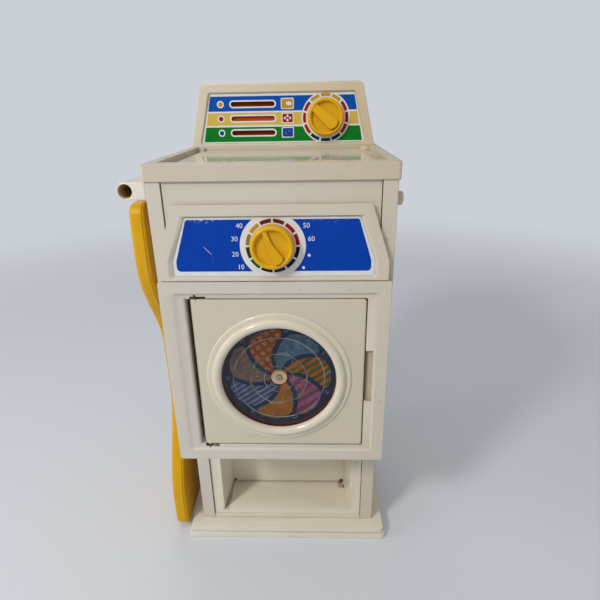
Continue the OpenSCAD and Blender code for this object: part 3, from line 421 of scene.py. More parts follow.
def rubbed_away(recipe):
    """Where the blue field has lost its ink: chips along its top, a gouge and fine strokes."""
    chipped = 0.4663, 0.4693
    gouge_line, gouge_x = 0.3794, -0.0655
    x, z = recipe.axis("X"), recipe.axis("Z")
    ragged = recipe.calc("MULTIPLY_ADD", recipe.noise(90.0, 3.0), 0.006, z)
    top = recipe.between(ragged, *chipped)
    side = recipe.between(recipe.calc("ABSOLUTE", x), 0.022, 0.07, 0.1, 1.0)
    side = recipe.product(side, recipe.cloud((55.0, 1.0), 0.36, 0.55))
    chips = recipe.product(top, side, recipe.cloud((300.0, 3.0, 0.6), 0.56, 0.62))
    slant = recipe.calc("MULTIPLY_ADD", x, 0.9, z)
    drift = recipe.calc("MULTIPLY_ADD", recipe.noise(120.0, 2.0), 0.003, slant)
    off_line = recipe.calc("ABSOLUTE", recipe.calc("SUBTRACT", drift, gouge_line))
    off_end = recipe.calc("ABSOLUTE", recipe.calc("ADD", x, -gouge_x))
    gouge = recipe.product(
        recipe.between(off_line, 0.0003, 0.0007, 1.0, 0.0),
        recipe.between(off_end, 0.003, 0.0045, 1.0, 0.0),
    )
    strokes = recipe.product(recipe.hairlines(26.0, (0.1, 0.8, 0.1), 0.006, 0.52), 0.35)
    return recipe.calc("MAXIMUM", recipe.calc("MAXIMUM", chips, gouge), strokes)


def print_ink(name, tint, scuffed=False):
    """Printed film: slightly uneven ink; scuffs go down to the pale film below."""
    pale_film = (0.6, 0.62, 0.62)
    tint = tint_of(tint)
    recipe = Recipe(name, tint, IOR=1.46, Specular_IOR_Level=0.12)
    recipe.cover(recipe.cloud((70.0, 3.0, 0.5), 0.3, 0.75, 0.0, 0.22), shaded(tint, 0.7))
    if scuffed:
        worn_off = recipe.product(rubbed_away(recipe), setting("scuffs"))
        recipe.cover(worn_off, pale_film)
        recipe.relief(worn_off, -0.3, GRAIN)
    recipe.feed("Roughness", recipe.cloud((60.0, 4.0), 0.3, 0.7, 0.42, 0.56))
    recipe.relief(recipe.noise(300.0, 2.0), 0.05, GRAIN)
    return recipe.done()


def dull_steel(name):
    """Screws and pins: grey metal with brown rust in spots."""
    recipe = Recipe(name, (0.42, 0.4, 0.37), Metallic=1.0)
    recipe.cover(recipe.cloud((260.0, 4.0, 0.6), 0.5, 0.68), (0.2, 0.1, 0.05))
    recipe.feed("Roughness", recipe.cloud((500.0,), 0.3, 0.7, 0.3, 0.6))
    recipe.relief(recipe.noise(900.0, 3.0), 0.2, GRAIN)
    return recipe.done()


def clear_plastic(name):
    """Clear pane: faint haze and hairline scratches in the polish."""
    tint = tint_of("pane")
    recipe = Recipe(name, tint, IOR=1.3, Transmission_Weight=1.0, Specular_IOR_Level=0.35)
    recipe.cover(recipe.cloud((40.0,), 0.4, 0.8), shaded(tint, 0.97))
    scratch = recipe.hairlines(40.0, (0.4, 0.2, 0.8), 0.005, 0.5)
    haze = recipe.cloud((50.0, 4.0), 0.5, 0.8, 0.0, 0.03)
    recipe.feed("Roughness", recipe.calc("MULTIPLY_ADD", scratch, 0.2, haze))
    recipe.relief(recipe.noise(30.0, 2.0), 0.06, 0.0003)
    return recipe.done()


def bead_plastic(name):
    """Raised lines of the pane: a pale colour, brighter in patches, painted on as the highlight
    where the clear plastic catches the light.
    """
    tint = tint_of("bead_tint")
    dim = shaded(tint, 0.45)
    recipe = Recipe(name, dim, IOR=1.46, Specular_IOR_Level=0.7, Transmission_Weight=0.6)
    recipe.cover(recipe.cloud((60.0, 2.0), 0.35, 0.7), tint)
    recipe.feed("Roughness", recipe.cloud((90.0,), 0.3, 0.7, 0.1, 0.25))
    recipe.relief(recipe.noise(200.0, 2.0), 0.05, GRAIN)
    return recipe.done()


def cloth(name, ground, mark, kind, scale=1.0):
    """A patch of the picture: printed cloth with stripes, dots, checks or plain weave."""
    ground = tint_of(ground)
    recipe = Recipe(name, ground, IOR=1.4, Specular_IOR_Level=0.1)
    turn = recipe.stretched((1, 1, 1), (0, 0.6, 0))
    if kind == "stripes":
        pattern = recipe.between(recipe.bands(42.0 * scale, "Z", turn, 0.6), 0.46, 0.54)
    elif kind == "checks":
        across = recipe.between(recipe.bands(45.0 * scale, "X", turn), 0.6, 0.68)
        along = recipe.between(recipe.bands(45.0 * scale, "Z", turn), 0.6, 0.68)
        pattern = recipe.calc("MAXIMUM", across, along)
    elif kind == "dots":
        flat = recipe.stretched((1, 0, 1), (0, 0.4, 0))
        pattern = recipe.between(recipe.cells(95.0 * scale, flat, 0.35), 0.2, 0.26, 1.0, 0.0)
    else:
        pattern = recipe.cloud((120.0 * scale, 4.0, 0.6), 0.35, 0.7, 0.0, 0.6)
    recipe.cover(pattern, mark)
    fold = recipe.between(recipe.noise(70.0, 3.0, 0.5, warp=1.0), 0.3, 0.7, 0.0, 0.5)
    recipe.cover(fold, shaded(ground, 0.35))
    recipe.feed("Roughness", recipe.cloud((200.0,), 0.3, 0.7, 0.4, 0.55))
    recipe.relief(recipe.noise(1200.0, 2.0), 0.1, GRAIN)
    return recipe.done()


# The near-black rust tint serves for rust spots and for painted shade in the hinge slots.
RUST_AND_SLOT_SHADE = (0.05, 0.018, 0.006)
BROWN = (0.2, 0.1, 0.035)
TAN = (0.48, 0.36, 0.2)

FRAME_STAINS_AND_SHADE = (
    # Painted shade: near-black inside the hinge slots above and below the door.
    patch((-88.6, -144.6, 384.6), (-72.2, -139, 388.2), RUST_AND_SLOT_SHADE, soft=0.3),
    patch((-88.6, -144.6, 196.2), (-72.2, -139, 199.8), RUST_AND_SLOT_SHADE, soft=0.3),
    patch((96, -143.6, 258), (106, -136, 327), TAN, 0.6, soft=0.5),
    spot((78, -146.5, 396), 0.8, BROWN),
    spot((26.5, -146.5, 396.6), 0.5, BROWN, 0.6, (0.3, 1, 1)),
    spot((-108, -146.5, 355), 0.7, BROWN, 0.6),
    spot((113.5, -146.5, 262), 0.9, RUST_AND_SLOT_SHADE, 0.9, (1.6, 1, 0.6)),
)
DOOR_STAINS_AND_SHADE = (
    # Painted shade: near-black over the door's hinge tabs, which sit in the slots.
    patch((-96, -150, 384.85), (-60, -120, 396), RUST_AND_SLOT_SHADE, soft=0.15),
    patch((-96, -150, 190), (-60, -120, 199.55), RUST_AND_SLOT_SHADE, soft=0.15),
    spot((-27, -143.5, 376), 0.5, BROWN, 0.5),
    spot((88, -143.5, 246), 0.5, BROWN, 0.5),
)
RAIL_BORE_TAN = (bore((-141.9, -141.2, 495.5), 6.9, (0.58, 0.4, 0.2), 0.9),)
BIN_STAINS = (
    spot((80, -30, 31), 5.5, (0.34, 0.11, 0.02), 0.6, (1, 0.5, 1.6)),
    spot((-83, -24, 33), 3.6, RUST_AND_SLOT_SHADE, 0.85),
    spot((81, -25, 33), 4.6, RUST_AND_SLOT_SHADE, 0.9, (1, 0.7, 1)),
    spot((84, -34, 30), 2.2, RUST_AND_SLOT_SHADE, 0.8, (1, 0.5, 1)),
    patch((-84, -26, 28), (84, -21.5, 32.5), BROWN, 0.45, soft=1.2, grain=60.0),
    patch((-92, -80, 28), (-83.6, -22, 33), BROWN, 0.5, soft=1.2, grain=60.0),
)
CORNER_STAINS = (
    patch((107, -140, 392), (113, -130, 448), (0.5, 0.34, 0.14), 0.4, soft=1.5, grain=40.0),
)

IVORIES = {
    "cabinet": dict(fresh=0.95, age=0.1, edge=0.7, overlays=CORNER_STAINS),
    "panel": dict(fresh=0.95, age=0.18, edge=0.5),
    "frame": dict(fresh=0.94, age=0.1, edge=0.4, grime=1.2, overlays=FRAME_STAINS_AND_SHADE),
    "tray": dict(fresh=0.9, age=0.4, gloss=0.2),
    "console": dict(fresh=1.12, age=0.62, gloss=0.18, right_shade_and_age=0.3, edge=0.6),
    "rail": dict(fresh=1.2, age=0.1, right_shade_and_age=0.0, overlays=RAIL_BORE_TAN),
    # The base and bin are brighter copies of the ivory: painted light, standing in for the light
    # that falls on the deck and into the bin.
    "base": dict(fresh=1.18, age=0.1, gloss=0.12, grime=0.7, right_shade_and_age=0.1),
    "bin": dict(fresh=1.25, age=0.32, gloss=0.14, grime=0.6, right_shade_and_age=0.05, overlays=BIN_STAINS),
    "door": dict(
        tint="door_ivory", age=0.1, right_shade_and_age=0.15, grime=0.6, edge=1.6, overlays=DOOR_STAINS_AND_SHADE
    ),
    "rim": dict(
        tint="door_ivory", fresh=1.08, age=0.0, gloss=0.1, right_shade_and_age=0.1, grime=0.8, edge=0.2
    ),
    "lid": dict(tint="door_ivory", age=0.2, gloss=0.05, right_shade_and_age=0.05, edge=0.5),
    "hidden": dict(gloss=0.3, edge=0.5),
}
BRIGHTS = {
    "board_yellow": dict(tint="board_yellow", worn=(0.78, 0.52, 0.06)),
    "knob_yellow": dict(tint="knob_yellow", worn=(0.8, 0.48, 0.03), gloss=0.24, level=0.3),
    "maroon": dict(
        tint="maroon", worn=(0.26, 0.04, 0.04), gloss=0.4, level=0.1, grime_tint=(0.05, 0.01, 0.01)
    ),
    "slot_dark": dict(tint=(0.28, 0.04, 0.008), worn=(0.36, 0.07, 0.03), level=0.1),
    "band_red": dict(tint=(0.62, 0.07, 0.012), worn=(0.7, 0.14, 0.04), level=0.1),
    "hub_tan": dict(tint=(0.66, 0.44, 0.25), worn=(0.75, 0.56, 0.36)),
}
INKS = {
    **{key: key for key in ("white", "blue", "yellow", "green", "red")},
    "stripe_blue": (0.001, 0.078, 0.42),
    "dark_red": (0.12, 0.02, 0.008),
    "black_navy": (0.002, 0.003, 0.014),
    "violet_navy": (0.008, 0.006, 0.11),
    "navy": (0.006, 0.018, 0.14),
    "deep_blue": (0.001, 0.03, 0.1),
    "black_green": (0.001, 0.008, 0.003),
    "dark_green": (0.003, 0.085, 0.018),
    "olive": (0.03, 0.032, 0.005),
    "old_gold": (0.28, 0.22, 0.02),
    "gold": (0.5, 0.3, 0.02),
}
CLOTHS = {
    "picture_navy": ("navy", (0.006, 0.07, 0.17), "plain", 0.4),
    "cloth_denim": ("denim", (0.16, 0.28, 0.36), "plain", 2.0),
    "cloth_dots": ((0.48, 0.16, 0.006), (0.46, 0.12, 0.2), "dots"),
    "cloth_stripes": ((0.52, 0.11, 0.005), (0.02, 0.12, 0.006), "stripes"),
    "cloth_pink": ((0.42, 0.11, 0.18), (0.22, 0.05, 0.15), "stripes", 0.7),
    "cloth_checks": ((0.08, 0.2, 0.09), (0.42, 0.12, 0.14), "checks"),
    "cloth_violet": ((0.07, 0.06, 0.24), (0.24, 0.28, 0.44), "stripes", 1.3),
    "cloth_amber": ((0.5, 0.2, 0.01), (0.3, 0.025, 0.006), "checks", 0.8),
}
# Each finish: what makes it, and with which values
FINISHES = {
    **{name + "_ivory": (ivory_plastic, (), options) for name, options in IVORIES.items()},
    **{name: (bright_plastic, (), options) for name, options in BRIGHTS.items()},
    **{"print_" + name: (print_ink, (tint,), {}) for name, tint in INKS.items()},
    **{name: (cloth, values, {}) for name, values in CLOTHS.items()},
    "print_blue_field": (print_ink, ("blue",), {"scuffed": True}),
    "steel": (dull_steel, (), {}),
    "pane_clear": (clear_plastic, (), {}),
    "pane_bead": (bead_plastic, (), {}),
}
_made = {}


def finish(name):
    """The material of that name, made when it is first asked for."""
    if name not in _made:
        maker, values, options = FINISHES[name]
        _made[name] = maker(name, *values, **options)
    return _made[name]


# ------------------------------------------------------------------ shapes


def place_piece(name, mesh, body, slot, *materials):
    """A new object from a mesh drawn in the frame's own space, riding on a body."""
    piece = bpy.data.objects.new(name, mesh)
    bpy.context.scene.collection.objects.link(piece)
    for material in materials:
        mesh.materials.append(finish(material))
    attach(piece, body)
    return piece


def shade(piece, sharp=38.0):
    """Smooth shading that keeps wide faces flat and hard corners hard."""
    piece.data.shade_smooth()
    piece.data.set_sharp_from_angle(angle=math.radians(sharp))
    even = piece.modifiers.new("even_normals", "WEIGHTED_NORMAL")
    even.keep_sharp = True
    even.weight = 80


def to_mesh(name, form):
    mesh = bpy.data.meshes.new(name)
    form.to_mesh(mesh)
    form.free()
    return mesh


def closed_mesh(name, form):
    bmesh.ops.recalc_face_normals(form, faces=form.faces)
    return to_mesh(name, form)


def round_edges(form, width):
    """Joins a faceted form's flat faces and rounds its sharp edges over."""
    bmesh.ops.remove_doubles(form, verts=form.verts, dist=1e-6)
    bmesh.ops.dissolve_limit(
        form, angle_limit=math.radians(0.6), use_dissolve_boundaries=False,
        verts=form.verts, edges=form.edges, delimit=set(),
    )
    sharp = math.radians(28.0)
    edges = [e for e in form.edges if len(e.link_faces) == 2 and e.calc_face_angle(0) > sharp]
    if edges and width > 0:
        bmesh.ops.bevel(
            form, geom=edges, offset=width, offset_type="OFFSET", segments=3,
            profile=0.5, affect="EDGES", clamp_overlap=True, loop_slide=True,
        )


def moulded(node, material, slot="cream_plastic", width=0.0):
    """Stands in for a frame node with the same form, smoothed and rounded over by a width."""
    source = frame["nodes"][node]
    form = bmesh.new()
    form.from_mesh(source.data)
    round_edges(form, width)
    mesh = to_mesh(node + "_moulded", form)
    piece = place_piece(node + "_moulded", mesh, source["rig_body"], slot, material)
    shade(piece)
    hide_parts(node)


def paint(node, material):
    """Gives a frame node that keeps its own shape a finish."""
    mesh = frame["nodes"][node].data
    mesh.materials.clear()
    mesh.materials.append(finish(material))


def leaning(depth, rise, lean):
    """Maps (x, y, z) drawn in millimetres on a leaning face to the frame."""
    c, s = math.cos(math.radians(lean)), math.sin(math.radians(lean))

    def place(x, y, z):
        return Vector((x, depth + y * c + z * s, rise - y * s + z * c)) * MM

    return place


ON_CONSOLE = leaning(60.325, 518.5, 5.0)
ON_PANEL = leaning(-146.5, 406.0, math.degrees(math.atan(6 / 76)))
# On those faces, in millimetres: the labels' front, the middle slot, and both dials
LABEL_FACE = 2.5
SLOT_X, SLOT_Z, SLOT_PITCH = -38.4, 37.1, 17.65
CYCLE_X, CYCLE_CUT = 56.5, 31.5
TIMER_Z = 35.4


def slab(form, loops, front, back, place, material):
    """A closed slab between two depths, cut to flat loops; later loops are holes."""
    flat = [[Vector((x, z, 0)) for x, z in loop] for loop in loops]
    points = [p for loop in flat for p in loop]
    near = [form.verts.new(place(p.x, front, p.y)) for p in points]
    far = [form.verts.new(place(p.x, back, p.y)) for p in points]
    faces = []
    for a, b, c in tessellate_polygon(flat):
        faces.append(form.faces.new((near[a], near[b], near[c])))
        faces.append(form.faces.new((far[c], far[b], far[a])))
    start = 0
    for loop in flat:
        count = len(loop)
        for i in range(count):
            a, b = start + i, start + (i + 1) % count
            faces.append(form.faces.new((near[b], near[a], far[a], far[b])))
        start += count
    for face in faces:
        face.material_index = material


def arc(cx, cz, r, start, end, count):
    """Points of an arc; degrees run clockwise from straight up."""
    turns = [math.radians(start + (end - start) * i / count) for i in range(count + 1)]
    return [(cx + r * math.sin(t), cz + r * math.cos(t)) for t in turns]


def disc(cx, cz, r, count=32):
    return arc(cx, cz, r, 0, 360 * (count - 1) / count, count - 1)


def sector(cx, cz, inner, outer, start, end):
    return arc(cx, cz, outer, start, end, 8) + arc(cx, cz, inner, end, start, 8)


def stadium(cx, cz, half, r):
    """A slot outline with round ends; half is its half length."""
    return arc(cx + half - r, cz, r, 0, 180, 10) + arc(cx - half + r, cz, r, 180, 360, 10)


def box_loop(cx, cz, half_w, half_h, r=0.8):
    """A rectangle with small round corners."""
    corners = ((1, 1, 0), (1, -1, 90), (-1, -1, 180), (-1, 1, 270))
    loop = []
    for sx, sz, start in corners:
        loop += arc(cx + sx * (half_w - r), cz + sz * (half_h - r), r, start, start + 90, 4)
    return loop


def bitten(x_low, x_high, z_low, z_high):
    """A stripe piece beside the cycle dial, its near end cut by a circle round the dial."""
    steps = [z_high + (z_low - z_high) * i / 12 for i in range(13)]
    cut = [(math.sqrt(max(0.0, CYCLE_CUT ** 2 - (z - SLOT_Z) ** 2)), z) for z in steps]
    if x_low < 0:
        return [(x_high, z_high)] + [(CYCLE_X - x, z) for x, z in cut] + [(x_low, z_low)]
    return [(CYCLE_X + x, z) for x, z in reversed(cut)] + [(x_high, z_high), (x_low, z_low)]


class Print:
    """Layers of ink on one face, gathered into one piece."""

    def __init__(self, name, place, face=LABEL_FACE, body="root", thick=None):
        self.name, self.place, self.face, self.body = name, place, face, body
        self.thick = thick or setting("ink") / MM
        self.form, self.finishes = bmesh.new(), []

    def lay(self, material, loops, layer=1):
        """Adds a shape in one finish, a number of layers above the face."""
        if material not in self.finishes:
            self.finishes.append(material)
        front, back = self.face - layer * self.thick, self.face + 0.05
        slab(self.form, loops, front, back, self.place, self.finishes.index(material))

    def done(self, slot):
        mesh = closed_mesh(self.name, self.form)
        place_piece(self.name, mesh, self.body, slot, *self.finishes)


# ------------------------------------------------------------------ pieces


class WASHER_OT_cabinet(bpy.types.Operator):
    """Side panels, control panel, rail, peg and the back of the cabinet"""

    bl_idname = "washer.cabinet"
    bl_label = "Cabinet"

    def execute(self, context):
        edge = setting("edge")
        for node in ("side_panel_left", "side_panel_right"):
            moulded(node, "cabinet_ivory")
        moulded("side_peg", "cabinet_ivory", width=edge * 0.5)
        moulded("control_panel", "panel_ivory")
        moulded("hinge_rail", "rail_ivory", width=edge * 0.5)
        for node in ("back_cover", "belly_pan"):
            moulded(node, "hidden_ivory")
        return {"FINISHED"}


class WASHER_OT_base(bpy.types.Operator):
    """Stepped base and the open bin that stands on it"""

    bl_idname = "washer.base"
    bl_label = "Base and Lower Bin"

    def execute(self, context):
        moulded("base_plinth", "base_ivory")
        moulded("lower_bin", "bin_ivory")
        return {"FINISHED"}


class WASHER_OT_door_frame(bpy.types.Operator):
    """Frame round the door and the liner of the dryer behind it"""

    bl_idname = "washer.door_frame"
    bl_label = "Door Frame"

    def execute(self, context):
        moulded("door_frame", "frame_ivory")
        moulded("dryer_bin", "hidden_ivory")
        return {"FINISHED"}


class WASHER_OT_door(bpy.types.Operator):
    """Door, its back plate and the rounded rim of the window"""

    bl_idname = "washer.door"
    bl_label = "Door"

    def execute(self, context):
        moulded("door_panel", "door_ivory", "door_plastic")
        moulded("door_back", "door_ivory", "door_plastic")
        moulded("window_rim", "rim_ivory", "door_plastic")
        return {"FINISHED"}


def bead_line(form, points, r, place, closed=False):
    """A round bead along a flat line of points, closed at both ends."""
    sides = 6
    rings, count = [], len(points)
    for i, (x, z) in enumerate(points):
        if closed:
            before, after = points[i - 1], points[(i + 1) % count]
        else:
            before, after = points[max(i - 1, 0)], points[min(i + 1, count - 1)]
        along = Vector((after[0] - before[0], after[1] - before[1])).normalized()
        across = Vector((-along.y, along.x))
        ring = []
        for k in range(sides):
            t = math.tau * k / sides
            out = across * r * math.cos(t)
            ring.append(form.verts.new(place(x + out.x, -r * math.sin(t), z + out.y)))
        rings.append(ring)
    spans = range(count if closed else count - 1)
    for i in spans:
        a, b = rings[i], rings[(i + 1) % count]
        for k in range(sides):
            form.faces.new((a[k], a[(k + 1) % sides], b[(k + 1) % sides], b[k]))
    if not closed:
        form.faces.new(list(reversed(rings[0])))
        form.faces.new(rings[-1])


WINDOW = Vector((1.25, -143.5, 288.7))
WINDOW_R = 63.7


def on_window(depth):
    """Maps (x, y, z) in millimetres, measured from the window's centre, to the frame."""

    def place(x, y, z):
        return Vector((WINDOW.x + x, WINDOW.y + depth + y, WINDOW.z + z)) * MM

    return place


class WASHER_OT_window(bpy.types.Operator):
    """Clear pane with its moulded circles and scallops, and the cup behind it"""

    bl_idname = "washer.window"
    bl_label = "Window"

    def execute(self, context):
        paint("window_pane", "pane_clear")
        paint("drum_cup", "maroon")
        form = bmesh.new()
        bead = setting("bead") / MM
        place = on_window(0.42)
        for share_of_r, thick in ((0.8, 0.85), (0.49, 0.75), (0.26, 0.6)):
            circle = disc(0, 0, share_of_r * WINDOW_R, 96)
            bead_line(form, circle, bead * thick, place, closed=True)
        lobes, out, lobe_r = 6, 0.37 * WINDOW_R, 0.155 * WINDOW_R
        for k in range(lobes):
            turn = 360 * k / lobes + 14
            c = math.radians(turn)
            lobe = arc(out * math.sin(c), out * math.cos(c), lobe_r, turn - 105, turn + 105, 24)
            bead_line(form, lobe, bead * 0.6, place)
        mesh = closed_mesh("pane_lines", form)
        mesh.shade_smooth()
        place_piece("pane_lines", mesh, "door", "clear_pane", "pane_bead")
        return {"FINISHED"}


class WASHER_OT_picture(bpy.types.Operator):
    """Spinning picture: a pinwheel of printed patches and bubbles on navy"""

    bl_idname = "washer.picture"
    bl_label = "Picture Disc"

    patches = ("denim", "stripes", "pink", "dots", "violet", "checks", "amber")
    inner, outer, swirl = 9.5, 58.5, 40.0
    face, thick = 7.8, 0.1

    def blade(self, start, width):
        """A curved patch from the hub outwards, with a round outer end."""
        steps = 18
        low, high = [], []
        for i in range(steps + 1):
            t = i / steps
            r = self.inner + (self.outer - self.inner) * t
            tip = max(0.0, (t - 0.8) / 0.2)
            half = width / 2 * (0.7 + 0.3 * t) * math.sqrt(max(0.0, 1 - tip ** 2 * 0.9))
            mid = start + self.swirl * t
            for side, sign in ((low, -1), (high, 1)):
                a = math.radians(mid + sign * half)
                side.append((r * math.sin(a), r * math.cos(a)))
        return low + list(reversed(high))

    def execute(self, context):
        blades = setting("blades")
        paint("picture_disc", "picture_navy")
        paint("disc_hub", "hub_tan")
        art = Print("picture_print", on_window(self.face), 0, "picture", self.thick)
        for k in range(blades):
            patch_shape = self.blade(360 * k / blades, 335 / blades)
            art.lay("cloth_" + self.patches[k % len(self.patches)], [patch_shape], 1 + k % 2)
        for k in range(blades * 2):
            turn = math.radians(360 * k / (blades * 2) + 9)
            r = 57.8 - 2.0 * (k % 2)
            ring = 2.8 - 0.9 * (k % 3) / 2
            x, z = r * math.sin(turn), r * math.cos(turn)
            art.lay("cloth_violet", [disc(x, z, ring, 20), disc(x, z, ring * 0.62, 20)], 3)
        art.done("picture_print")
        return {"FINISHED"}


def digits(text, size):
    """Flat outline mesh of a number, centred on the origin."""
    curve = bpy.data.curves.new("number", "FONT")
    curve.body = text
    curve.align_x, curve.align_y = "CENTER", "CENTER"
    curve.size = size
    curve.extrude = 0.05
    curve.resolution_u = 3
    holder = bpy.data.objects.new("number", curve)
    mesh = bpy.data.meshes.new_from_object(holder)
    bpy.data.objects.remove(holder)
    bpy.data.curves.remove(curve)
    return mesh


class WASHER_OT_timer(bpy.types.Operator):
    """Blue timer label with its ring of arcs and the numbers 10 to 60"""

    bl_idname = "washer.timer"
    bl_label = "Timer Label"

    around = (
        "dark_red", "red", "red", "black_navy", "violet_navy", "navy",
        "black_green", "dark_green", "olive", "old_gold", "gold", "dark_red",
    )
    marks = (
        ("40", -32.5, 55.7), ("30", -38.0, 42.6), ("20", -37.9, 27.1),
        ("10", -32.7, 14.0), ("50", 33.7, 55.4), ("60", 38.5, 42.3),
    )

    number_size = 7.0
    dots = ((36.2, 25.8), (30.4, 13.2))

    def numbers(self, thick):
        """The scale's numbers, laid flat on the label."""
        form = bmesh.new()
        for text, x, z in self.marks:
            mesh = digits(text, self.number_size)
            for vert in mesh.vertices:
                p = vert.co.copy()
                depth = LABEL_FACE - 2 * thick if p.z > 0 else LABEL_FACE + 0.02
                vert.co = ON_PANEL(x + p.x, depth, z + p.y)
            form.from_mesh(mesh)
            bpy.data.meshes.remove(mesh)
        bmesh.ops.remove_doubles(form, verts=form.verts, dist=1e-7)
        mesh = closed_mesh("timer_numbers", form)
        place_piece("timer_numbers", mesh, "root", "blue_label", "print_white")

    def execute(self, context):
        paint("timer_label", "print_white")
        art = Print("timer_print", ON_PANEL)
        r, top, low = 33.0, 61.9, 9.6
        half_top, half_knee, knee = 85.5, 98.3, 20.1
        start = math.degrees(math.acos((top - TIMER_Z) / r))
        stop = 180 - math.degrees(math.acos((TIMER_Z - low) / r))
        half = arc(0, TIMER_Z, r, start, stop, 24)
        half += arc(half_knee - 4, low + 4, 4, 180, 90, 6)
        half += [(half_knee, knee), (half_top + 0.4, top - 1.2), (half_top - 1.2, top)]
        for sign in (1, -1):
            art.lay("print_blue_field", [[(sign * x, z) for x, z in half]])
        inner, outer, gap = 23.3, 27.1, 2.2
        for k, tint in enumerate(self.around):
            bar = sector(0, TIMER_Z, inner, outer, 30 * k + gap, 30 * (k + 1) - gap)
            art.lay("print_" + tint, [bar])
        for x, z in self.dots:
            art.lay("print_white", [disc(x, z, 1.5, 20)], 2)
        art.done("blue_label")
        self.numbers(art.thick)
        return {"FINISHED"}


class WASHER_OT_console(bpy.types.Operator):
    """Console, its striped label with slots and signs, and the red band behind it"""

    bl_idname = "washer.console"
    bl_label = "Console"

    around = ("gold",) * 2 + ("red",) * 3 + ("deep_blue",) * 3 + ("red",) * 3 + ("gold",)

    def signs(self, art):
        """White-ringed dots left of the slots and small framed signs right of them."""
        dot_x, sign_x = -80.6, 6.8
        high, low = SLOT_Z + SLOT_PITCH, SLOT_Z - SLOT_PITCH
        rows = (("gold", high, 7.2, 5.6), ("red", SLOT_Z, 6.6, 5.2), ("blue", low, 6.8, 5.4))
        for tint, z, half_w, half_h in rows:
            art.lay("print_white", [disc(dot_x, z, 4.5)], 2)
            art.lay("print_" + tint, [disc(dot_x, z, 2.9)], 3)
            art.lay("print_white", [box_loop(sign_x, z, half_w + 1.2, half_h + 1.2, 1.4)], 2)
            art.lay("print_" + tint, [box_loop(sign_x, z, half_w, half_h)], 3)
        art.lay("print_white", [stadium(sign_x + 1.8, high, 3.4, 2.2)], 4)
        for dx, dz in ((-3.4, 0), (3.4, 0), (0, 2.6), (0, -2.6)):
            x, z = sign_x + dx, SLOT_Z + dz
            art.lay("print_white", [[(x, z + 2), (x + 1.7, z), (x, z - 2), (x - 1.7, z)]], 4)
        art.lay("cloth_violet", [disc(sign_x, low, 3.4), disc(sign_x, low, 2.2)], 4)

    def execute(self, context):
        moulded("console_shell", "console_ivory")
        moulded("console_back", "hidden_ivory")
        paint("console_label", "print_white")
        paint("slot_backing", "slot_dark")
        paint("band_slide", "band_red")
        art = Print("console_print", ON_CONSOLE)
        stripes = (
            ("print_stripe_blue", 46.2, 64.4, 97.2, 93.6),
            ("print_yellow", 29.0, 44.2, 100.0, 97.4),
            ("print_green", 8.4, 26.7, 104.6, 101.2),
        )
        for k, (tint, low, high, half_low, half_high) in enumerate(stripes):
            z = SLOT_Z + (1 - k) * SLOT_PITCH
            left = bitten(-half_low, -half_high, low, high)
            art.lay(tint, [left, stadium(SLOT_X, z, 30.4, 4.6)])
            ring = [stadium(SLOT_X, z, 30.6, 4.8), stadium(SLOT_X, z, 28.7, 3.0)]
            art.lay("print_white", ring, 2)
            art.lay(tint, [bitten(half_low, half_high, low, high)])
        inner, outer, half_bar = 25.7, 29.6, 12.6
        for k, tint in enumerate(self.around):
            bar = sector(CYCLE_X, SLOT_Z, inner, outer, 30 * k - half_bar, 30 * k + half_bar)
            art.lay("print_" + tint, [bar])
        self.signs(art)
        art.done("striped_label")
        return {"FINISHED"}


def turned(form, profile):
    """A form turned round the h axis from (r, h) points; r of nothing closes it."""
    count = 72
    rings = []
    for r, h in profile:
        if r == 0:
            rings.append([form.verts.new((0, 0, h))])
        else:
            rings.append([form.verts.new((x, y, h)) for x, y in disc(0, 0, r, count)])
    for low, high in zip(rings, rings[1:]):
        for k in range(count):
            j = (k + 1) % count
            if len(low) == 1:
                loop = low[0], high[j], high[k]
            elif len(high) == 1:
                loop = low[k], low[j], high[0]
            else:
                loop = low[k], low[j], high[j], high[k]
            form.faces.new(loop)
    bmesh.ops.recalc_face_normals(form, faces=form.faces)


def in_order(mesh):
    """Puts a mesh's points and faces in one fixed order, which a union leaves open."""
    places = [tuple(round(c, 4) for c in vert.co) for vert in mesh.vertices]
    order = sorted(range(len(places)), key=lambda i: places[i])
    rank = {old: new for new, old in enumerate(order)}
    points = [mesh.vertices[i].co.copy() for i in order]
    faces = []
    for face in mesh.polygons:
        ring = [rank[i] for i in face.vertices]
        first = ring.index(min(ring))
        faces.append(ring[first:] + ring[:first])
    mesh.clear_geometry()
    mesh.from_pydata(points, [], sorted(faces))


def joined(base, extra):
    """The union of two closed meshes."""
    holders = [bpy.data.objects.new("part", mesh) for mesh in (base, extra)]
    for holder in holders:
        bpy.context.scene.collection.objects.link(holder)
    union = holders[0].modifiers.new("union", "BOOLEAN")
    union.operation, union.solver, union.object = "UNION", "EXACT", holders[1]
    bpy.context.view_layer.update()
    solved = holders[0].evaluated_get(bpy.context.evaluated_depsgraph_get())
    whole = bpy.data.meshes.new_from_object(solved)
    for holder in holders:
        bpy.data.objects.remove(holder)
    if not whole.polygons:
        raise RuntimeError("the grip could not be joined to its knob")
    in_order(whole)
    return whole


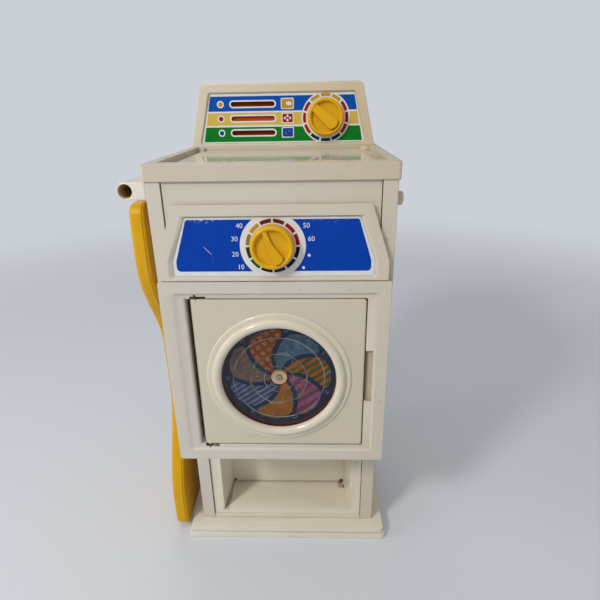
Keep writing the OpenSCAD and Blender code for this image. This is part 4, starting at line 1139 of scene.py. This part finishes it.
class WASHER_OT_knobs(bpy.types.Operator):
    """Both yellow knobs, the pinion and the detent wheel on their shafts"""

    bl_idname = "washer.knobs"
    bl_label = "Knobs"

    bore, bore_end, deck, crest, clear = 4.25, 8.15, 8.5, 13.0, 0.6
    tapered = [
        (-17.3, -3.2), (15.6, -3.2), (16.8, -2.0), (17.2, 0.8), (16.4, 4.2), (14.6, 6.2),
        (11.5, 6.4), (-4, 1.6), (-17.3, 1.2),
    ]
    broad = [
        (-18.4, -5.6), (12.6, -8.1), (15.0, -7.4), (16.9, -4.8), (17.8, -1.2), (17.6, 2.4),
        (16.0, 5.6), (13.2, 6.6), (-18.0, 4.0),
    ]

    def dish(self, radius):
        """Round body with a raised, rounded ring at its rim and a bore for the shaft."""
        ring = (
            (0.35, 0.3), (0, 0.65), (0, 6), (0.15, 8.5), (0.6, 10.6), (1.3, 12.1), (2.1, 12.8),
            (3.0, self.crest), (3.9, 12.75), (4.6, 12), (5.1, 10.9), (5.5, 9.6), (6.0, 8.8),
            (6.8, self.deck),
        )
        profile = [(0, self.bore_end), (self.bore, self.bore_end), (self.bore, 0.3)]
        profile += [(radius - inset, h) for inset, h in ring] + [(0, self.deck)]
        form = bmesh.new()
        turned(form, profile)
        return to_mesh("dish", form)

    def grip(self, outline, heading, rise, slope, edge):
        """Grip bar: its outline runs along a heading, and its top climbs towards the wide end."""
        form = bmesh.new()
        turn = math.radians(heading)
        ahead = Vector((math.cos(turn), math.sin(turn)))
        aside = Vector((-ahead.y, ahead.x))
        tops, feet = [], []
        middle = sum((Vector(p) for p in outline), Vector((0, 0))) / len(outline)
        for u, v in outline:
            climb = min(1.0, max(0.0, (u + 12) / 20))
            swell = rise * climb * climb * (3 - 2 * climb)
            h = self.crest - 0.2 + swell - slope * max(0.0, v - outline[0][1])
            spread = middle + (Vector((u, v)) - middle) * 1.06
            for row, (a, b), height in ((tops, (u, v), h), (feet, spread, self.bore_end + 0.15)):
                at = ahead * a + aside * b
                row.append(form.verts.new((at.x, at.y, height)))
        count = len(outline)
        crown = form.faces.new(tops)
        form.faces.new(list(reversed(feet)))
        for k in range(count):
            j = (k + 1) % count
            form.faces.new((feet[k], feet[j], tops[j], tops[k]))
        bmesh.ops.recalc_face_normals(form, faces=form.faces)
        bmesh.ops.bevel(
            form, geom=list(crown.edges), offset=edge, offset_type="OFFSET", segments=4,
            profile=0.5, affect="EDGES", clamp_overlap=True,
        )
        bmesh.ops.triangulate(form, faces=[f for f in form.faces if len(f.verts) > 4])
        return to_mesh("grip", form)

    def knob(self, node, radius, face, x, z, bar):
        """One knob, its foot standing clear of the label."""
        mesh = joined(self.dish(radius), self.grip(*bar))
        for vert in mesh.vertices:
            a, b, h = vert.co
            vert.co = face(x + a, LABEL_FACE - self.clear - h, z + b)
        mesh.materials.clear()
        body = frame["nodes"][node]["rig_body"]
        piece = place_piece(node + "_moulded", mesh, body, "knob_yellow", "knob_yellow")
        form = bmesh.new()
        form.from_mesh(mesh)
        bmesh.ops.recalc_face_normals(form, faces=form.faces)
        form.to_mesh(mesh)
        form.free()
        shade(piece, 42.0)
        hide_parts(node)

    def execute(self, context):
        narrow = (self.tapered, -69.3, 2.6, 0.22, 0.7)
        wide = (self.broad, -40.5, 2.4, 0.0, 0.9)
        self.knob("timer_knob", 22.15, ON_PANEL, 0, TIMER_Z, narrow)
        self.knob("cycle_knob", 23.45, ON_CONSOLE, CYCLE_X, SLOT_Z, wide)
        for node in ("cycle_pinion", "timer_wheel"):
            paint(node, "knob_yellow")
        paint("detent_spring", "hidden_ivory")
        return {"FINISHED"}


class WASHER_OT_tray(bpy.types.Operator):
    """Top tray with the hinged lid over the wash tub"""

    bl_idname = "washer.tray"
    bl_label = "Tray, Lid and Tub"

    def execute(self, context):
        moulded("top_tray", "tray_ivory")
        moulded("lid", "lid_ivory", "door_plastic")
        moulded("wash_tub", "hidden_ivory")
        return {"FINISHED"}


class WASHER_OT_board(bpy.types.Operator):
    """Yellow ironing board on its hinge"""

    bl_idname = "washer.board"
    bl_label = "Ironing Board"

    def execute(self, context):
        edge = setting("edge")
        for node in ("board_shell", "board_cover", "board_knuckle"):
            moulded(node, "board_yellow", "board_yellow", edge * 0.7)
        return {"FINISHED"}


class WASHER_OT_metal(bpy.types.Operator):
    """Screws, guide rods and the board's pin"""

    bl_idname = "washer.metal"
    bl_label = "Screws and Pins"

    def execute(self, context):
        screws = ("cover_screws", "base_screws", "tub_screws", "hub_screw")
        for node in (*screws, "guide_rods", "board_pin"):
            paint(node, "steel")
        return {"FINISHED"}


class WASHER_OT_stage(bpy.types.Operator):
    """Floor, lamps, even light and the camera"""

    bl_idname = "washer.stage"
    bl_label = "Stage"

    stand = (0.0421, -0.5937, 0.5694)
    yaw, pitch, roll = -2.01, 22.39, -0.99
    middle = (0, 0, 0.3)
    backdrop = (0.6, 0.63, 0.68)

    def camera(self, context, lens):
        """A camera at the stand, with level yaw, a dip and a slight roll."""
        yaw, pitch, roll = (math.radians(a) for a in (self.yaw, self.pitch, self.roll))
        level = math.cos(pitch)
        ahead = Vector((math.sin(yaw) * level, math.cos(yaw) * level, -math.sin(pitch)))
        right = Vector((math.cos(yaw), -math.sin(yaw), 0))
        up = right.cross(ahead)
        across = right * math.cos(roll) + up * math.sin(roll)
        above = up * math.cos(roll) - right * math.sin(roll)
        data = bpy.data.cameras.new("camera")
        data.lens, data.sensor_width = lens, 36
        data.clip_start, data.clip_end = 0.01, 50
        eye = bpy.data.objects.new("camera", data)
        turned = Matrix((across, above, -ahead)).transposed().to_4x4()
        eye.matrix_world = Matrix.Translation(self.stand) @ turned
        context.scene.collection.objects.link(eye)
        context.scene.camera = eye

    def lamp(self, context, name, power, size, stand, tint):
        data = bpy.data.lights.new(name, "AREA")
        data.energy, data.shape, data.color = power, "ELLIPSE", tint
        data.size, data.size_y = size
        light = bpy.data.objects.new(name, data)
        light.location = stand
        gaze = Vector(self.middle) - Vector(stand)
        light.rotation_euler = gaze.to_track_quat("-Z", "Y").to_euler()
        context.scene.collection.objects.link(light)

    def floor(self, context, tint):
        """A wide pale floor that takes shadows near the object and fades to the backdrop."""
        form = bmesh.new()
        bmesh.ops.create_circle(form, cap_ends=True, segments=96, radius=14)
        mesh = to_mesh("floor", form)
        ground = bpy.data.objects.new("floor", mesh)
        context.scene.collection.objects.link(ground)
        recipe = Recipe("floor", tint, Roughness=0.6)
        recipe.cover(recipe.cloud((300.0, 2.0), 0.3, 0.7, 0.0, 0.04), shaded(tint, 0.8))
        reach = recipe.node("ShaderNodeVectorMath", {0: recipe.place}, operation="LENGTH")
        path = recipe.node("ShaderNodeLightPath", {})
        seen = recipe.calc("MAXIMUM", path.outputs["Is Camera Ray"], path.outputs["Is Glossy Ray"])
        far = recipe.product(seen, recipe.between(reach.outputs["Value"], 0.7, 2.2))
        glow = recipe.node("ShaderNodeEmission", {"Color": self.backdrop, "Strength": 1.0})
        inputs = {0: far, 1: recipe.shader.outputs[0], 2: glow.outputs[0]}
        blend = recipe.node("ShaderNodeMixShader", inputs)
        recipe.put(recipe.tree.nodes["Material Output"].inputs["Surface"], blend.outputs[0])
        mesh.materials.append(recipe.done())

    def sky(self, context, strength):
        """Even white light, seen by the camera as the backdrop's own tone."""
        world = bpy.data.worlds.new("sky")
        world.use_nodes = True
        tree = world.node_tree
        light = tree.nodes["Background"]
        light.inputs["Color"].default_value = (1.0, 1.0, 1.0, 1)
        light.inputs["Strength"].default_value = strength
        seen = tree.nodes.new("ShaderNodeBackground")
        seen.inputs["Color"].default_value = (*self.backdrop, 1)
        path = tree.nodes.new("ShaderNodeLightPath")
        blend = tree.nodes.new("ShaderNodeMixShader")
        sources = path.outputs["Is Camera Ray"], light.outputs[0], seen.outputs[0]
        for k, source in enumerate(sources):
            tree.links.new(source, blend.inputs[k])
        tree.links.new(blend.outputs[0], tree.nodes["World Output"].inputs["Surface"])
        context.scene.world = world

    def execute(self, context):
        look = context.scene.washer_stage
        context.scene.view_settings.view_transform = "Standard"
        self.camera(context, look.lens)
        white, upright = (1, 1, 1), (0.3, 1.4)
        lamps = (
            ("key_lamp", look.key, (0.4, 0.4), (-1.15, -1.4, 1.6), (1, 0.99, 0.97)),
            ("top_lamp", look.top, (1.5, 0.5), (-0.2, -0.9, 2.1), white),
            ("left_lamp", look.fill, upright, (-1.9, -0.5, 0.8), white),
            ("right_lamp", look.fill * 0.4, upright, (1.9, -0.6, 0.8), white),
            ("rear_lamp", look.fill, (1.2, 1.2), (-0.4, 1.4, 1.6), white),
        )
        for name, power, size, stand, tint in lamps:
            self.lamp(context, name, power, size, stand, tint)
        self.floor(context, list(look.floor))
        self.sky(context, look.sky)
        return {"FINISHED"}


OPERATORS = (
    WASHER_OT_cabinet,
    WASHER_OT_base,
    WASHER_OT_door_frame,
    WASHER_OT_door,
    WASHER_OT_window,
    WASHER_OT_picture,
    WASHER_OT_timer,
    WASHER_OT_console,
    WASHER_OT_knobs,
    WASHER_OT_tray,
    WASHER_OT_board,
    WASHER_OT_metal,
    WASHER_OT_stage,
)


class WASHER_PT_panel(bpy.types.Panel):
    """Settings and pieces of the toy washing machine"""

    bl_idname = "WASHER_PT_panel"
    bl_label = "Toy Washing Machine"
    bl_space_type = "VIEW_3D"
    bl_region_type = "UI"
    bl_category = "Washer"

    def draw(self, context):
        for name, group in SETTINGS.items():
            box = self.layout.box()
            for key in group.__annotations__:
                box.prop(getattr(context.scene, name), key)
        for operator in OPERATORS:
            self.layout.operator(operator.bl_idname)


CLASSES = (*SETTINGS.values(), *OPERATORS, WASHER_PT_panel)


def register():
    for cls in CLASSES:
        bpy.utils.register_class(cls)
    for name, group in SETTINGS.items():
        setattr(bpy.types.Scene, name, bpy.props.PointerProperty(type=group))


def unregister():
    for name in SETTINGS:
        delattr(bpy.types.Scene, name)
    for cls in reversed(CLASSES):
        bpy.utils.unregister_class(cls)


def main():
    register()
    for operator in OPERATORS:
        group, name = operator.bl_idname.split(".")
        getattr(getattr(bpy.ops, group), name)()


if __name__ == "__main__":
    main()
